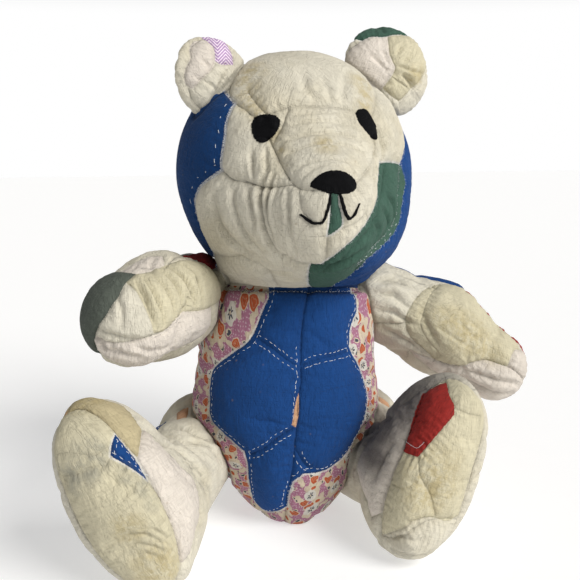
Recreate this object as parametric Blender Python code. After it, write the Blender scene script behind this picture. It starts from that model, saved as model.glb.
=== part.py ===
"""A patchwork teddy bear, seated: panels of quilted cloth sewn over the stuffing of its head, body,
arms and legs, with two-sided ears and an embroidered face.

Sizes are in millimetres and become metres once, in new_object. The bear faces -Y, +Z is up, and left and
right are the bear's own. Each stuffed part is a distance function: negative inside the cloth, zero on
its outer face. A ball of triangles is pushed out to that face, and flat or curved cutters part the
panels along the seams.
"""

from math import cos, pi, radians, sin

import bmesh
import bpy
import numpy as np
from mathutils import Matrix

MM = 0.001  # one design unit, in metres
CLOTH = 3.0  # quilted cloth: two layers and the wadding between them
GAP = 0.3  # clearance between sewn edges, and between cloth and stuffing
FAR = 260.0  # reach of the cutters, beyond every piece

# The body is an egg that leans back on its seat.
BODY_SEAT = (-5.0, -30.0, 0.0)
BODY_TURN = (-12.0, 3.0, 0.0)
NECK_HEIGHT = 151.0  # from the seat to the neck seam, along the body's own axis
BODY_MIDDLE = (0.0, 0.0, 70.0)
BODY_RISE = 40.0  # rays to the neck start this far above the middle

HEAD_CENTRE = (9.0, 0.0, 224.0)
HEAD_TURN = (0.0, -3.0, 4.0)
FACE_ROOT = (0.0, -28.0, -11.0)  # a point inside skull, cheeks and muzzle alike

# Half the width of the strip between the two sides of the head, at this distance from the face's root,
# against the angle up from the nose.
GUSSET_REACH = 85.0
GUSSET_ANGLES = (2.0, 14.0, 32.0, 50.0, 72.0, 94.0, 116.0, 140.0, 173.0, 208.0, 247.0)
GUSSET_WIDTHS = (12.0, 16.0, 28.0, 38.0, 44.0, 46.0, 42.0, 35.0, 27.0, 22.0, 20.0)

EARS = {
    "right": dict(centre=(-50.0, 0.0, 58.0), turn=(-8.0, -40.0, 30.0), radii=(25.0, 10.0, 29.0)),
    "left": dict(centre=(64.0, 0.0, 60.0), turn=(-8.0, 46.0, -4.0), radii=(27.0, 10.0, 31.0)),
}
EAR_CUP = 0.004  # how far the rim bends forward, per square of the distance from the middle

# Each arm is three balls joined by tapering necks: shoulder, elbow and paw.
ARMS = {
    "right": (((-60.0, 2.0, 140.0), 27.0), ((-82.0, -34.0, 146.0), 31.0), ((-101.0, -66.0, 144.0), 28.0)),
    "left": (((68.0, 8.0, 134.0), 27.0), ((110.0, 0.0, 112.0), 29.0), ((147.0, -12.0, 86.0), 24.0)),
}

# Each leg is a thigh lying on the floor, and a foot that stands up at the end of it.
LEGS = {
    "right": dict(
        hip=((-52.0, 4.0, 35.0), 37.0), ankle=((-92.0, -76.0, 35.0), 28.0),
        foot=(-110.0, -106.0, 50.5), turn=(-4.0, -26.0, -18.0), radii=(32.0, 42.0, 56.0),
    ),
    "left": dict(
        hip=((54.0, 6.0, 35.0), 37.0), ankle=((69.0, -70.0, 35.0), 28.5),
        foot=(74.0, -98.0, 52.5), turn=(-4.0, 20.0, 14.0), radii=(31.0, 42.0, 57.0),
    ),
}
SOLE_DEPTH = 18.0  # from the middle of the foot to the edge of its sole
SOLE_DOME = 5.0  # how far the stuffed sole swells beyond that
SOLE_SEAM = 13.0  # where the seam round the sole lies, behind the swelling
HEEL_ROOT = (0.0, 14.0, -14.0)  # a point of the foot's own frame that lies inside foot and thigh alike
HIP_SEAM = 18.0  # how far outside the hip's middle the seam along the leg passes

# Steps along a cube's edge before it is rounded: more of them where the form is finer.
STEPS = {"head": 8, "body": 6, "arm": 6, "leg": 6, "ear": 4}
CORE_STEPS = {"head": 6, "body": 6, "arm": 4, "leg": 6}
KEPT_SHARE = 0.92  # of the triangles that a cut leaves: the thinnest, along the seams, are merged

COLOURS = {
    "muslin": (0.78, 0.73, 0.62),
    "yellowed_muslin": (0.70, 0.62, 0.44),
    "blue": (0.025, 0.07, 0.28),
    "green": (0.09, 0.17, 0.13),
    "calico": (0.56, 0.33, 0.37),
    "red": (0.33, 0.035, 0.045),
    "lilac": (0.62, 0.45, 0.60),
    "stuffing": (0.80, 0.78, 0.72),
    "black_thread": (0.006, 0.006, 0.008),
}


def clear_scene():
    for existing in list(bpy.data.objects):
        bpy.data.objects.remove(existing)


def material(colour):
    """A cloth, thread or wadding, made once for each colour."""
    found = bpy.data.materials.get(colour)
    if found:
        return found
    made = bpy.data.materials.new(colour)
    made.use_nodes = True
    shader = made.node_tree.nodes["Principled BSDF"]
    shader.inputs["Base Color"].default_value = (*COLOURS[colour], 1.0)
    shader.inputs["Roughness"].default_value = 0.92
    shader.inputs["Metallic"].default_value = 0.0
    return made


# Distance functions. Points are rows of an array.


def rotation(degrees):
    x, y, z = (radians(angle) for angle in degrees)
    turn_x = np.array([[1, 0, 0], [0, cos(x), -sin(x)], [0, sin(x), cos(x)]])
    turn_y = np.array([[cos(y), 0, sin(y)], [0, 1, 0], [-sin(y), 0, cos(y)]])
    turn_z = np.array([[cos(z), -sin(z), 0], [sin(z), cos(z), 0], [0, 0, 1]])
    return turn_z @ turn_y @ turn_x


def foot_rotation(degrees):
    """A foot leans sideways after it has tipped back, and swings outwards last."""
    return rotation((0, 0, degrees[2])) @ rotation((0, degrees[1], 0)) @ rotation((degrees[0], 0, 0))


def into(points, centre, turn):
    return (points - np.asarray(centre)) @ turn


def out_of(points, centre, turn):
    return np.asarray(points) @ turn.T + np.asarray(centre)


def ellipsoid(points, centre, radii):
    offset = points - np.asarray(centre)
    scaled = np.linalg.norm(offset / radii, axis=-1)
    slope = np.linalg.norm(offset / np.square(radii), axis=-1)
    return scaled * (scaled - 1) / np.maximum(slope, 1e-9)


def round_cone(points, start, end):
    (a, radius_a), (b, radius_b) = start, end
    along = np.subtract(b, a)
    share = np.clip((points - np.asarray(a)) @ along / (along @ along), 0, 1)
    axis = np.asarray(a) + share[:, None] * along
    return np.linalg.norm(points - axis, axis=-1) - (radius_a + (radius_b - radius_a) * share)


def blend(a, b, width):
    """The union of two shapes, with a fillet about this wide between them."""
    share = np.clip(0.5 + 0.5 * (b - a) / width, 0, 1)
    return b * (1 - share) + a * share - width * share * (1 - share)


def trim(a, b, width):
    """What two shapes share, with the edge between them rounded."""
    return -blend(-a, -b, width)


def body(points):
    local = into(points, BODY_SEAT, rotation(BODY_TURN))
    belly = ellipsoid(local, BODY_MIDDLE, (60.0, 53.0, 84.0))
    chest = ellipsoid(local, (0.0, 3.0, 128.0), (59.0, 47.0, 72.0))
    egg = blend(belly, chest, 10.0)
    egg = trim(egg, local[:, 2] - NECK_HEIGHT, 6.0)
    return np.maximum(egg, -points[:, 2])


def head(points):
    local = into(points, HEAD_CENTRE, rotation(HEAD_TURN))
    skull = ellipsoid(local, (0.0, 6.0, 2.0), (77.0, 68.0, 73.0))
    cheeks = ellipsoid(local, (-2.0, -20.0, -28.0), (61.0, 50.0, 46.0))
    tipped = into(local, (-1.0, -54.0, -19.0), rotation((6.0, 0.0, 0.0)))
    muzzle = ellipsoid(tipped, (0.0, 0.0, 0.0), (36.0, 50.0, 40.0))
    face = blend(blend(skull, muzzle, 26.0), cheeks, 20.0)
    above_neck = into(points, BODY_SEAT, rotation(BODY_TURN))[:, 2] - NECK_HEIGHT - GAP
    return trim(face, -above_neck, 6.0)


def ear(side):
    shape = EARS[side]

    def distance(points):
        local = into(points, HEAD_CENTRE, rotation(HEAD_TURN))
        local = into(local, shape["centre"], rotation(shape["turn"]))
        cup = EAR_CUP * (local[:, 0] ** 2 + local[:, 2] ** 2)
        flat = np.stack([local[:, 0], local[:, 1] - cup, local[:, 2]], axis=-1)
        return ellipsoid(flat, (0.0, 0.0, 0.0), shape["radii"])

    return distance


def arm(side):
    shoulder, elbow, paw = ARMS[side]

    def distance(points):
        upper = round_cone(points, shoulder, elbow)
        return blend(upper, round_cone(points, elbow, paw), 16.0)

    return distance


def leg(side):
    shape = LEGS[side]

    def distance(points):
        thigh = round_cone(points, shape["hip"], shape["ankle"])
        local = into(points, shape["foot"], foot_rotation(shape["turn"]))
        bulk = ellipsoid(local, (0.0, 4.0, 0.0), shape["radii"])
        spread = (local[:, 0] / shape["radii"][0]) ** 2 + (local[:, 2] / shape["radii"][2]) ** 2
        sole = -(local[:, 1] + SOLE_DEPTH + SOLE_DOME * (1 - spread))
        foot = trim(bulk, sole, 3.0)
        return np.maximum(blend(thigh, foot, 20.0), -points[:, 2])

    return distance


# Solids.


def new_object(name, points, faces, colours=("muslin",), which=None):
    """An object from points in millimetres. which gives each face's place in colours."""
    mesh = bpy.data.meshes.new(name)
    mesh.from_pydata((np.asarray(points) * MM).tolist(), [], faces)
    for colour in colours:
        mesh.materials.append(material(colour))
    if which is not None:
        mesh.polygons.foreach_set("material_index", np.asarray(which, np.int32))
    tidy = bmesh.new()
    tidy.from_mesh(mesh)
    bmesh.ops.recalc_face_normals(tidy, faces=tidy.faces[:])
    tidy.to_mesh(mesh)
    tidy.free()
    made = bpy.data.objects.new(name, mesh)
    bpy.context.scene.collection.objects.link(made)
    return made


def helper(made):
    """Marks a cutter, which is no piece of the toy."""
    made.hide_render = True
    made.display_type = "WIRE"
    return made


def ball(steps):
    """Unit directions and triangles of a cube whose faces have this many steps each way."""
    form = bmesh.new()
    bmesh.ops.create_cube(form, size=2.0)
    bmesh.ops.subdivide_edges(form, edges=form.edges[:], cuts=steps - 1, use_grid_fill=True)
    bmesh.ops.triangulate(form, faces=form.faces[:])
    corners = np.array([vertex.co for vertex in form.verts], float)
    faces = [[vertex.index for vertex in face.verts] for face in form.faces]
    form.free()
    even = np.tan(corners * pi / 4)
    return even / np.linalg.norm(even, axis=1)[:, None], faces


def surface(distance, spine, turn, steps, inset=0.0):
    """Points where rays leave the shape, and the ball's triangles.

    The rays start from the spine: its middle, moved towards each of its ends by how far they point to it.
    """
    directions, faces = ball(steps)
    directions = directions @ turn.T
    middle = np.asarray(spine[0])
    starts = np.repeat(middle[None], len(directions), axis=0)
    for end in spine[1:]:
        reach = np.asarray(end) - middle
        towards = directions @ (reach / np.linalg.norm(reach))
        starts += np.maximum(towards, 0)[:, None] * reach
    near = np.zeros(len(directions))
    far = np.full(len(directions), FAR)
    for _ in range(40):
        half = (near + far) / 2
        inside = distance(starts + half[:, None] * directions) + inset < 0
        near = np.where(inside, half, near)
        far = np.where(inside, far, half)
    return starts + near[:, None] * directions, faces


def block(name, frame, low, high):
    """A box between two corners of a frame, used to keep one side of a seam."""
    corners = [(x, y, z) for x in (low[0], high[0]) for y in (low[1], high[1]) for z in (low[2], high[2])]
    faces = [(0, 1, 3, 2), (4, 6, 7, 5), (0, 4, 5, 1), (2, 3, 7, 6), (0, 2, 6, 4), (1, 5, 7, 3)]
    return helper(new_object(name, out_of(corners, *frame), faces))


def seam_frame(backwards, upwards):
    """A turn whose Y axis runs backwards along a limb, with a seam in the plane of its Y and Z axes."""
    along = backwards / np.linalg.norm(backwards)
    sideways = np.cross(along, upwards)
    sideways /= np.linalg.norm(sideways)
    return np.stack([sideways, along, np.cross(sideways, along)], axis=1)


def half_space(name, frame, axis, sign, start=GAP / 2):
    """All that lies beyond a plane across one axis of a frame."""
    low, high = [-FAR] * 3, [FAR] * 3
    if sign > 0:
        low[axis] = start
    else:
        high[axis] = -start
    return block(name, frame, low, high)


def fan(name, frame, wider):
    """The strip over the head: a band from nose to nape, whose edges are straight rays from the root."""
    points, faces = [], []
    angles = np.array(GUSSET_ANGLES)
    angles[[0, -1]] += (-2 * wider, 2 * wider)
    for angle, width in zip(angles, GUSSET_WIDTHS):
        half = (width + wider) / GUSSET_REACH
        y, z = -cos(radians(angle)), sin(radians(angle))
        for reach in (2.0, FAR):
            points += [(-half * reach, reach * y, reach * z), (half * reach, reach * y, reach * z)]
    for ring in range(len(angles) - 1):
        a, b = 4 * ring, 4 * ring + 4
        for one, two in ((0, 1), (1, 3), (3, 2), (2, 0)):
            faces += [(a + one, a + two, b + two), (a + one, b + two, b + one)]
    last = len(points) - 4
    faces += [(0, 1, 3, 2), (last, last + 2, last + 3, last + 1)]
    return helper(new_object(name, out_of(points, *frame), faces))


def piece(name, form, cuts):
    """A copy of a form, cut by each helper in turn."""
    made = form.copy()
    made.data = form.data.copy()
    made.name = name
    made.hide_render = False
    made.display_type = "TEXTURED"
    bpy.context.scene.collection.objects.link(made)
    for number, (operation, cutter) in enumerate(cuts):
        cut = made.modifiers.new(f"seam_{number}", "BOOLEAN")
        cut.operation = operation
        cut.solver = "EXACT"
        cut.object = cutter
    if cuts:
        merge = made.modifiers.new("merge_slivers", "DECIMATE")
        merge.ratio = KEPT_SHARE
    return made


def stuffed(name, kind, distance, spine, turn, colours, fields):
    """The helpers that a stuffed part's panels and its stuffing are cut from."""
    points, faces = surface(distance, spine, turn, STEPS[kind])
    centres = np.array([points[face].mean(axis=0) for face in faces])
    form = helper(new_object(f"{name}_form", points, faces, colours, fields(centres)))
    points, faces = surface(distance, spine, turn, CORE_STEPS[kind], CLOTH)
    core = helper(new_object(f"{name}_core", points, faces))
    points, faces = surface(distance, spine, turn, CORE_STEPS[kind], CLOTH + 2 * GAP)
    filling = helper(new_object(f"{name}_filling", points, faces, ("stuffing",)))
    return form, core, filling


def clearance(name, kind, distance, spine, turn):
    """A form grown by the gap, which cuts what is sewn on to it."""
    points, faces = surface(distance, spine, turn, STEPS[kind], -GAP)
    return helper(new_object(f"{name}_clearance", points, faces))


# Fields of colour: each function names the place in its part's colours for points on the cloth.


def body_fields(points):
    """A blue field over the belly and chest, on flowered calico."""
    local = into(points, BODY_SEAT, rotation(BODY_TURN))
    height = local[:, 2]
    waist = np.interp(height, (0, 15, 45, 62, 88, 105, 118, 151), (14, 34, 38, 45, 46, 36, 30, 28))
    return np.where((np.abs(local[:, 0]) < waist) & (local[:, 1] < 0), 1, 0)


def head_fields(points):
    """Muslin, with a blue hexagon on each side and a green strip down the left jaw."""
    local = into(points, HEAD_CENTRE, rotation(HEAD_TURN))
    blue = (np.abs(local[:, 0]) > 56) & (local[:, 2] < 40)
    jaw = (local[:, 0] > 22) & (local[:, 2] < 4) & ~blue & (local[:, 1] < 30)
    return np.where(blue, 1, np.where(jaw, 2, 0))


def arm_fields(side):
    """The right paw has a green tip, and the left arm's back shows blue."""

    def fields(points):
        if side == "right":
            return np.where(points[:, 0] + 0.4 * points[:, 1] < -128, 1, 0)
        return np.where((points[:, 1] > 6) & (points[:, 0] < 118), 2, 0)

    return fields


def leg_fields(side):
    """A blue triangle on the right sole, and a red diamond on the left one."""
    shape = LEGS[side]

    def fields(points):
        local = into(points, shape["foot"], foot_rotation(shape["turn"]))
        mark = (local[:, 1] < -SOLE_SEAM) & (np.abs(local[:, 0]) + np.abs(local[:, 2] - 18) < 20)
        return np.where(mark, 1, 0)

    return fields


# The toy's parts.


def make_body():
    """Four panels, which meet at the middle of the front and back and at the sides."""
    turn = rotation(BODY_TURN)
    frame = (BODY_SEAT, turn)
    spine = out_of([BODY_MIDDLE, np.add(BODY_MIDDLE, (0.0, 0.0, BODY_RISE))], *frame)
    form, core, filling = stuffed("body", "body", body, spine, turn, ("calico", "blue"), body_fields)
    sides = {
        "right": half_space("body_cut_right", frame, 0, -1),
        "left": half_space("body_cut_left", frame, 0, 1),
    }
    faces = {
        "front": half_space("body_cut_front", frame, 1, -1),
        "back": half_space("body_cut_back", frame, 1, 1),
    }
    for face, face_cut in faces.items():
        for side, side_cut in sides.items():
            cuts = [("INTERSECT", face_cut), ("INTERSECT", side_cut), ("DIFFERENCE", core)]
            piece(f"body_{face}_{side}", form, cuts)
    piece("body_stuffing", filling, [])
    return clearance("body", "body", body, spine, turn)


def make_head():
    """A strip from nose to nape, and two sides that meet under the chin and at the throat."""
    turn = rotation(HEAD_TURN)
    spine = out_of([FACE_ROOT], HEAD_CENTRE, turn)
    frame = (spine[0], turn)
    colours = ("muslin", "blue", "green")
    form, core, filling = stuffed("head", "head", head, spine, turn, colours, head_fields)
    strip = fan("gusset_cut", frame, 0.0)
    strip_clear = fan("gusset_clearance", frame, GAP)
    piece("head_gusset", form, [("INTERSECT", strip), ("DIFFERENCE", core)])
    for side, sign in (("right", -1), ("left", 1)):
        side_cut = half_space(f"head_cut_{side}", frame, 0, sign)
        cuts = [("INTERSECT", side_cut), ("DIFFERENCE", strip_clear), ("DIFFERENCE", core)]
        piece(f"head_side_{side}", form, cuts)
    piece("head_stuffing", filling, [])
    return clearance("head", "head", head, spine, turn)


def make_ears(head_clearance):
    """Each ear is a front and a back, sewn together round the rim and set into the head's seam."""
    head_turn = rotation(HEAD_TURN)
    for side, shape in EARS.items():
        turn = head_turn @ rotation(shape["turn"])
        centre = out_of([shape["centre"]], HEAD_CENTRE, head_turn)[0]
        points, faces = surface(ear(side), [centre], turn, STEPS["ear"])
        form = helper(new_object(f"ear_{side}_form", points, faces, ("muslin",)))
        for face, sign in (("front", -1), ("back", 1)):
            cut = half_space(f"ear_{side}_cut_{face}", (centre, turn), 1, sign)
            piece(f"ear_{side}_{face}", form, [("INTERSECT", cut), ("DIFFERENCE", head_clearance)])


def make_arms(body_clearance):
    """Each arm is a front and a back panel round its stuffing."""
    for side, (shoulder, elbow, paw) in ARMS.items():
        spine = (elbow[0], shoulder[0], paw[0])
        turn = seam_frame(np.subtract(shoulder[0], paw[0]), np.array((0.0, 0.0, 1.0)))
        colours = ("muslin", "green", "blue")
        form, core, filling = stuffed(f"arm_{side}", "arm", arm(side), spine, turn, colours, arm_fields(side))
        forward = 1 if turn[1, 0] < 0 else -1
        for face, sign in (("front", forward), ("back", -forward)):
            cut = half_space(f"arm_{side}_cut_{face}", (elbow[0], turn), 0, sign)
            cuts = [("INTERSECT", cut), ("DIFFERENCE", core), ("DIFFERENCE", body_clearance)]
            piece(f"arm_{side}_{face}", form, cuts)
        piece(f"arm_{side}_stuffing", filling, [("DIFFERENCE", body_clearance)])


def make_legs(body_clearance):
    """Each leg is an inner and an outer panel, and a sole."""
    for side, shape in LEGS.items():
        outward = 1 if side == "left" else -1
        foot_frame = (shape["foot"], foot_rotation(shape["turn"]))
        spine = (out_of(HEEL_ROOT, *foot_frame), shape["hip"][0])
        seam_end = np.add(shape["hip"][0], (outward * HIP_SEAM, 0.0, 0.0))
        leg_turn = seam_frame(seam_end - spine[0], foot_frame[1][:, 2])
        colours = ("muslin", "blue" if side == "right" else "red")
        form, core, filling = stuffed(
            f"leg_{side}", "leg", leg(side), spine, leg_turn, colours, leg_fields(side)
        )
        sole_cut = half_space(f"sole_{side}_cut", foot_frame, 1, -1, SOLE_SEAM + GAP / 2)
        upper_cut = half_space(f"upper_{side}_cut", foot_frame, 1, 1, -SOLE_SEAM + GAP / 2)
        piece(f"sole_{side}", form, [("INTERSECT", sole_cut), ("DIFFERENCE", core)])
        for face, sign in (("inner", -outward), ("outer", outward)):
            cut = half_space(f"leg_{side}_cut_{face}", (spine[0], leg_turn), 0, sign)
            cuts = [("INTERSECT", upper_cut), ("INTERSECT", cut), ("DIFFERENCE", core),
                    ("DIFFERENCE", body_clearance)]
            piece(f"leg_{side}_{face}", form, cuts)
        piece(f"leg_{side}_stuffing", filling, [("DIFFERENCE", body_clearance)])


# The face is thick black embroidery, laid on the cloth.

EYES = {
    "right": dict(at=(-33.0, 28.0), half=(8.5, 8.0), lean=-20.0),
    "left": dict(at=(34.0, 31.0), half=(6.5, 9.5), lean=25.0),
}
NOSE = dict(at=(-1.0, 2.0), half=(13.5, 7.0))
THREAD = 1.4  # thickness of the satin stitch
MOUTHS = {
    "right": ((-2.5, -6.5), (-5.5, -14.0), (-9.0, -22.0), (-14.5, -22.5), (-20.5, -18.0)),
    "left": ((2.5, -6.5), (4.5, -14.0), (7.0, -22.0), (11.5, -20.5), (15.0, -15.5)),
}
MOUTH_RADIUS = 1.0


def on_face(across_up, lift):
    """Points a lift above the cloth of the face, straight before these places across it and up it."""
    turn = rotation(HEAD_TURN)
    across_up = np.asarray(across_up, float)
    near, far = np.zeros(len(across_up)), np.full(len(across_up), FAR)
    for _ in range(40):
        half = (near + far) / 2
        local = np.stack([across_up[:, 0], -half, across_up[:, 1]], axis=1)
        inside = head(out_of(local, HEAD_CENTRE, turn)) - lift < 0
        near = np.where(inside, half, near)
        far = np.where(inside, far, half)
    return out_of(np.stack([across_up[:, 0], -near, across_up[:, 1]], axis=1), HEAD_CENTRE, turn)


def pad(name, outline):
    """A low cushion of stitches inside an outline, its underside just clear of the cloth."""
    outline = np.asarray(outline)
    middle = outline.mean(axis=0)
    inner = middle + (outline - middle) * 0.55
    count = len(outline)
    under = np.concatenate([[middle], inner, outline])
    points = np.concatenate([on_face(under, GAP + 0.1), on_face(under, GAP + THREAD)])
    rim = on_face(outline, GAP + 0.6 * THREAD)
    points[-count:] = rim
    faces, top = [], len(under)
    for k in range(count):
        after = (k + 1) % count
        for base in (0, top):
            faces.append((base, base + 1 + k, base + 1 + after))
            faces.append((base + 1 + k, base + 1 + count + k, base + 1 + count + after, base + 1 + after))
        faces.append((1 + count + k, 1 + count + after, top + 1 + count + after, top + 1 + count + k))
    return new_object(name, points, faces, ("black_thread",))


def oval(at, half, lean, count=10):
    turn = radians(lean)
    angles = np.arange(count) * 2 * pi / count
    x, y = half[0] * np.cos(angles), half[1] * np.sin(angles)
    return np.stack([at[0] + x * cos(turn) - y * sin(turn), at[1] + x * sin(turn) + y * cos(turn)], axis=1)


def half_moon(at, half, count=10):
    """A nose: flat along the lower edge and round above."""
    angles = np.arange(count) * 2 * pi / count
    height = np.where(np.sin(angles) > 0, np.sin(angles), 0.75 * np.sin(angles))
    return np.stack([at[0] + half[0] * np.cos(angles), at[1] + half[1] * height], axis=1)


def stroke(name, places):
    """One stitched line of the mouth, as a round cord on the cloth."""
    curve = bpy.data.curves.new(name, "CURVE")
    curve.dimensions = "3D"
    curve.bevel_depth = MOUTH_RADIUS * MM
    curve.bevel_resolution = 1
    curve.use_fill_caps = True
    line = curve.splines.new("POLY")
    points = on_face(places, MOUTH_RADIUS + GAP / 2) * MM
    line.points.add(len(points) - 1)
    for point, place in zip(line.points, points):
        point.co = (*place, 1.0)
    curve.materials.append(material("black_thread"))
    made = bpy.data.objects.new(name, curve)
    bpy.context.scene.collection.objects.link(made)


def make_face():
    for side, eye in EYES.items():
        pad(f"eye_{side}", oval(eye["at"], eye["half"], eye["lean"]))
        stroke(f"mouth_{side}", MOUTHS[side])
    pad("nose", half_moon(NOSE["at"], NOSE["half"]))


def stand_on_origin():
    """Shifts everything sideways, so that the origin is under the middle of the toy."""
    bpy.context.view_layer.update()
    graph = bpy.context.evaluated_depsgraph_get()
    lows, highs = [], []
    for each in bpy.context.scene.objects:
        if each.hide_render:
            continue
        evaluated = each.evaluated_get(graph)
        points = np.array([vertex.co for vertex in evaluated.to_mesh().vertices])
        evaluated.to_mesh_clear()
        lows.append(points.min(axis=0))
        highs.append(points.max(axis=0))
    middle = (np.min(lows, axis=0) + np.max(highs, axis=0)) / 2
    shift = Matrix.Translation((-middle[0], -middle[1], 0.0))
    for each in bpy.context.scene.objects:
        each.matrix_world = shift @ each.matrix_world


def main():
    clear_scene()
    body_clearance = make_body()
    head_clearance = make_head()
    make_ears(head_clearance)
    make_arms(body_clearance)
    make_legs(body_clearance)
    make_face()
    stand_on_origin()


main()
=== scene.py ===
"""Dresses the seated patchwork bear in its cloth: quilted panels with puckered seams, frayed patches,
white running stitches and black embroidery.

Sizes are in millimetres, in the frame in which the toy was drawn, and become metres in the row frame
once, in new_mesh. The toy faces -Y, +Z is up, and left and right are its own. Places on a stuffed part
are given as (around, up) in degrees, seen from inside it: 0 faces its front, or the tip of a limb, and
90 its left.
"""

from math import cos, pi, radians, sin

import bpy
import numpy as np
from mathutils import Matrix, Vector
from mathutils.bvhtree import BVHTree


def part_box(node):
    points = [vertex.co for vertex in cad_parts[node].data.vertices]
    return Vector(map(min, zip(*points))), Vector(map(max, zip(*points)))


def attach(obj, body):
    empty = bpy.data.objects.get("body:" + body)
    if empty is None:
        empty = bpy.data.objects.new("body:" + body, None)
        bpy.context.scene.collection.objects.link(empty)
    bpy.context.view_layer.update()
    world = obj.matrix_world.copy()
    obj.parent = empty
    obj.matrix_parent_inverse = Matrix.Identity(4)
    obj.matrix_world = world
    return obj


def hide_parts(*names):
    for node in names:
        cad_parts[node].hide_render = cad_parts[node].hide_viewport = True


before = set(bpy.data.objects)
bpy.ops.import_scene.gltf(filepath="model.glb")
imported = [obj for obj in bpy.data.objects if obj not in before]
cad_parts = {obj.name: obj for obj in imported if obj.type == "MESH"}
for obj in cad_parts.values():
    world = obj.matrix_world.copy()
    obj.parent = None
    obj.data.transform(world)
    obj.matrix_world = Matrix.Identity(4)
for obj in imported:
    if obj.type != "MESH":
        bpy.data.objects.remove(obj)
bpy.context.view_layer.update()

MM = 0.001
ORIGIN = (0.0, 0.0, 0.0)
FAR = 260.0  # longer than any ray through a stuffed part
CLOTH_UNIT = 100.0  # one unit of the cloth's UV map

# The stuffed shapes, as they were drawn.
BODY_SEAT = (-5.0, -30.0, 0.0)
BODY_TURN = (-12.0, 3.0, 0.0)
NECK_HEIGHT = 151.0
NECK_RADII = (50.0, 36.0)  # the head's cloth comes down to the body's in a short neck
NECK_BACK = -2.0
NECK_RISE = 12.0
NECK_TUCK = 2.5  # and is tucked this far into its top
NECK_OVERLAP = 3.0  # the body's top goes up into the neck
SEAT_TAPER = 0.65  # how much narrower the body gets towards its seat, below this height
TAPER_HEIGHT = 62.0
TAPER_ASIDE = 3.0
BODY_MIDDLE = (0.0, 0.0, 70.0)
BODY_RISE = 40.0
BELLY_RADII = (62.0, 53.0, 84.0)
CHEST = ((0.0, 3.0, 128.0), (59.0, 47.0, 72.0))
HEAD_CENTRE = (9.0, 0.0, 224.0)
HEAD_TURN = (0.0, -3.0, 4.0)
SKULL = ((0.6, 6.0, 1.8), (75.5, 68.5, 73.5))  # middle and radii
CHEEKS = ((-2.0, -20.0, -28.0), (61.0, 50.0, 46.0))
MUZZLE = ((-1.0, -54.0, -19.0), (36.0, 50.0, 40.0))
MUZZLE_TIP = (6.0, 0.0, 0.0)
FACE_ROOT = (0.0, -28.0, -11.0)  # the face's places are seen from here
EARS = {
    "right": dict(centre=(-48.5, 0.0, 60.0), turn=(-8.0, -40.0, 30.0), radii=(27.5, 10.5, 31.0)),
    "left": dict(centre=(65.2, 0.0, 61.0), turn=(-8.0, 46.0, -4.0), radii=(31.5, 10.5, 31.5)),
}
EAR_CUP = 0.004
ARMS = {
    "right": (((-57.5, 2.0, 145.5), 26.8), ((-82.0, -34.0, 146.0), 28.7), ((-101.0, -66.0, 145.5), 28.4)),
    "left": (((68.0, 8.0, 134.0), 27.0), ((112.0, 0.0, 113.5), 29.5), ((147.3, -12.0, 88.3), 25.3)),
}
LEGS = {
    "right": dict(
        hip=((-55.0, 5.0, 39.0), 30.0), ankle=((-89.0, -76.0, 36.0), 29.0),
        foot=(-108.0, -106.0, 53.4), turn=(-4.0, -29.0, -18.0), radii=(30.2, 42.0, 59.2),
    ),
    "left": dict(
        hip=((54.0, 6.0, 35.0), 37.0), ankle=((69.0, -70.0, 35.0), 28.5),
        foot=(72.5, -98.0, 53.5), turn=(-4.0, 24.0, 14.0), radii=(28.5, 42.0, 58.0),
    ),
}
FOOT_BULK = (0.0, 4.0, 0.0)
SOLE_DEPTH = 18.0
SOLE_DOME = 5.0
HEEL_ROOT = (0.0, 14.0, -14.0)
HIP_SEAM = 18.0

# Steps along each edge of the cube that a part's skin is rounded from. Each face is later cut in four.
STEPS = {"head": 60, "body": 54, "arm": 36, "leg": 48, "ear": 24}

# Cloths, from the lowest to the one that lies on top. Each gives the skin a distance inwards from its
# edge, under its own name.
CLOTHS = ("pale", "yellowed", "tan", "calico", "lilac", "slate", "shaded_blue", "blue", "green", "red", "peach")
EDGE_REACH = 20.0  # distances from edges and seams are measured up to here

# Lines that are the edge of more than one patch, or an edge and a seam.
LEFT_EAR_PATCH = (
    (-76, 44), (-62, 39), (-42, 27), (-17, 22), (1, 17), (9, 0), (13, -19),
)
LEFT_ARM_PATCH = (
    (-88, -33), (-78, -25), (-72, -7), (-65, 6), (-58, 10), (-51, 13),
)
RIGHT_SOLE = (
    (-38, 79), (21, 80), (37, 73), (41, 68), (42, 55), (42, 44), (41, 31), (42, 20), (41, 7), (40, -8),
    (38, -21), (35, -32), (29, -45), (5, -56), (-20, -45), (-36, -12), (-39, 20), (-41, 50),
)
LEFT_SOLE_EDGE = (
    (-57, 66), (-49, 57), (-47, 49), (-43, 37), (-43, 21), (-41, -5), (-38, -31),
)

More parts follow.
